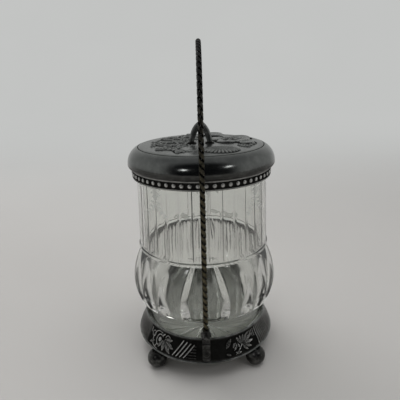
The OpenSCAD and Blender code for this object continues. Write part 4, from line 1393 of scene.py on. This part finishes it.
class JAR_OT_stage(bpy.types.Operator):
    """Camera, pale seamless backdrop and soft lamps"""

    bl_idname = "biscuit_jar.stage"
    bl_label = "Stage"

    def execute(self, context):
        settings = context.scene.biscuit_jar.stage
        self.camera(context)
        self.backdrop(settings)
        self.lamps(settings)
        self.world(context, settings)
        context.scene.view_settings.view_transform = "Standard"
        return {"FINISHED"}

    def camera(self, context):
        pitch, yaw, roll = (math.radians(turn) for turn in (CAMERA_PITCH, CAMERA_YAW, CAMERA_ROLL))
        ahead = Vector((math.sin(yaw) * math.cos(pitch), math.cos(yaw) * math.cos(pitch), -math.sin(pitch)))
        across = Vector((math.cos(yaw), -math.sin(yaw), 0))
        up = across.cross(ahead)
        right = across * math.cos(roll) + up * math.sin(roll)
        above = up * math.cos(roll) - across * math.sin(roll)
        lens = bpy.data.cameras.new("jar_camera")
        lens.lens = LENS_MM
        lens.clip_start = 0.01
        lens.clip_end = 20
        camera = bpy.data.objects.new("jar_camera", lens)
        context.scene.collection.objects.link(camera)
        turn = Matrix((right, above, -ahead)).transposed().to_4x4()
        camera.matrix_world = Matrix.Translation(Vector(CAMERA_AT) * MM) @ turn
        context.scene.camera = camera

    def backdrop(self, settings):
        """A floor that sweeps up behind the jar in one curve."""
        depth = [(y, 0.0) for y in (*SWEEP_FLAT, SWEEP_BEND)]
        for degrees in spread(0, 90, 16):
            a = math.radians(degrees)
            depth.append((SWEEP_BEND + SWEEP_BEND * math.sin(a), SWEEP_BEND - SWEEP_BEND * math.cos(a)))
        depth.append((2 * SWEEP_BEND, SWEEP_TOP))
        xs = spread(-SWEEP_HALF, SWEEP_HALF, 24)
        points = [(x, y, z) for y, z in depth for x in xs]
        faces = grid_faces(len(depth), len(xs), closed=False).tolist()
        sweep = smooth_mesh("sweep", points, faces, self.sweep_cloth(settings))

    def sweep_cloth(self, settings):
        """Pale cloth that glows evenly further back when it is seen straight, mirrored or through glass."""
        f = Finish("sweep_cloth")
        soft = f.noise(2.2, 3, 0.5).ramp(0.3, 0.7)
        weave = f.noise(900, 2, 0.6)
        cloth = f.node("ShaderNodeBsdfPrincipled", {}, {
            "Base Color": f.mix(soft * 0.35, rgba(settings.floor), shade(settings.floor, 0.93)),
            "Roughness": 0.9, "Specular IOR Level": 0.15, "Normal": f.bump(weave, 0.0002, 0.15)})
        glow = f.mix(soft * 0.25, rgba(settings.backdrop), shade(settings.backdrop, 0.94))
        even = f.node("ShaderNodeEmission", {}, {"Color": glow, "Strength": 1.0})
        spot = f.node("ShaderNodeNewGeometry", output="Position")
        back = f.node("ShaderNodeSeparateXYZ", {}, {"Vector": spot}, output="Y").ramp(0.10, 1.25)
        seen = f.seen_by("Is Camera Ray", "Is Glossy Ray", "Is Transmission Ray")
        return f.surface(f.node("ShaderNodeMixShader", {}, {0: seen * back, 1: cloth, 2: even}))

    def lamps(self, settings):
        # the two large lamps light the jar but don't show in its plate
        self.lamp(settings.key_power, *KEY).visible_glossy = False
        self.lamp(settings.fill_power, *FILL).visible_glossy = False
        self.lamp(settings.window_power, *WINDOW_LEFT)
        self.lamp(settings.window_power * 0.8, *WINDOW_RIGHT)

    def lamp(self, power, name, size, place, target):
        data = bpy.data.lights.new(name, "AREA")
        data.energy = power
        data.shape = "DISK"
        data.size = size
        lamp = bpy.data.objects.new(name, data)
        bpy.context.scene.collection.objects.link(lamp)
        lamp.location = place
        lamp.rotation_euler = (Vector(target) - Vector(place)).to_track_quat("-Z", "Y").to_euler()
        return lamp

    def world(self, context, settings):
        """Even pale light, with the darker side of the room in front of the jar."""
        world = bpy.data.worlds.new("studio")
        context.scene.world = world
        world.use_nodes = True
        f = Finish("studio", world)
        way = f.node("ShaderNodeTexCoord", output="Generated")
        front = f.toward(way, (0.0, -0.94, 0.34)).ramp(0.42, 0.78)
        above = f.toward(way, (0.0, -0.2, 0.98)).ramp(0.35, 0.95)
        dark = f.mix(f.seen_by("Is Glossy Ray"), DARK_SIDE, DARK_MIRRORED)
        dark = f.mix(f.seen_by("Is Transmission Ray"), dark, DARK_THROUGH_GLASS)
        colour = f.mix(front, f.mix(above, ROOM, CEILING), dark)
        # seen straight on, the room is as pale as the backdrop on every side
        colour = f.mix(f.seen_by("Is Camera Ray"), colour, rgba(settings.backdrop))
        light = f.node("ShaderNodeBackground", {}, {"Color": colour, "Strength": 1.0})
        f.node("ShaderNodeOutputWorld", {}, {"Surface": light})


class JAR_PT_panel(bpy.types.Panel):
    """Lists the jar's settings and pieces"""

    bl_label = "Biscuit jar"
    bl_idname = "JAR_PT_panel"
    bl_space_type = "VIEW_3D"
    bl_region_type = "UI"
    bl_category = "Biscuit Jar"

    def draw(self, context):
        jar = context.scene.biscuit_jar
        for group in (jar.glass, jar.plate, jar.ornament, jar.stage):
            box = self.layout.box()
            for key in group.__annotations__:
                box.prop(group, key)
        for operator in OPERATORS:
            self.layout.operator(operator.bl_idname)


SETTINGS = (GlassSettings, PlateSettings, OrnamentSettings, StageSettings, JarSettings)
OPERATORS = (
    JAR_OT_stage, JAR_OT_glass, JAR_OT_etching, JAR_OT_lid, JAR_OT_bead_band, JAR_OT_finial,
    JAR_OT_ring, JAR_OT_feet, JAR_OT_sockets, JAR_OT_bail,
)


def register():
    for cls in (*SETTINGS, *OPERATORS, JAR_PT_panel):
        bpy.utils.register_class(cls)
    bpy.types.Scene.biscuit_jar = PointerProperty(type=JarSettings)


def unregister():
    del bpy.types.Scene.biscuit_jar
    for cls in reversed((*SETTINGS, *OPERATORS, JAR_PT_panel)):
        bpy.utils.unregister_class(cls)


def main():
    register()
    for operator in OPERATORS:
        group, name = operator.bl_idname.split(".")
        getattr(getattr(bpy.ops, group), name)()


if __name__ == "__main__":
    main()
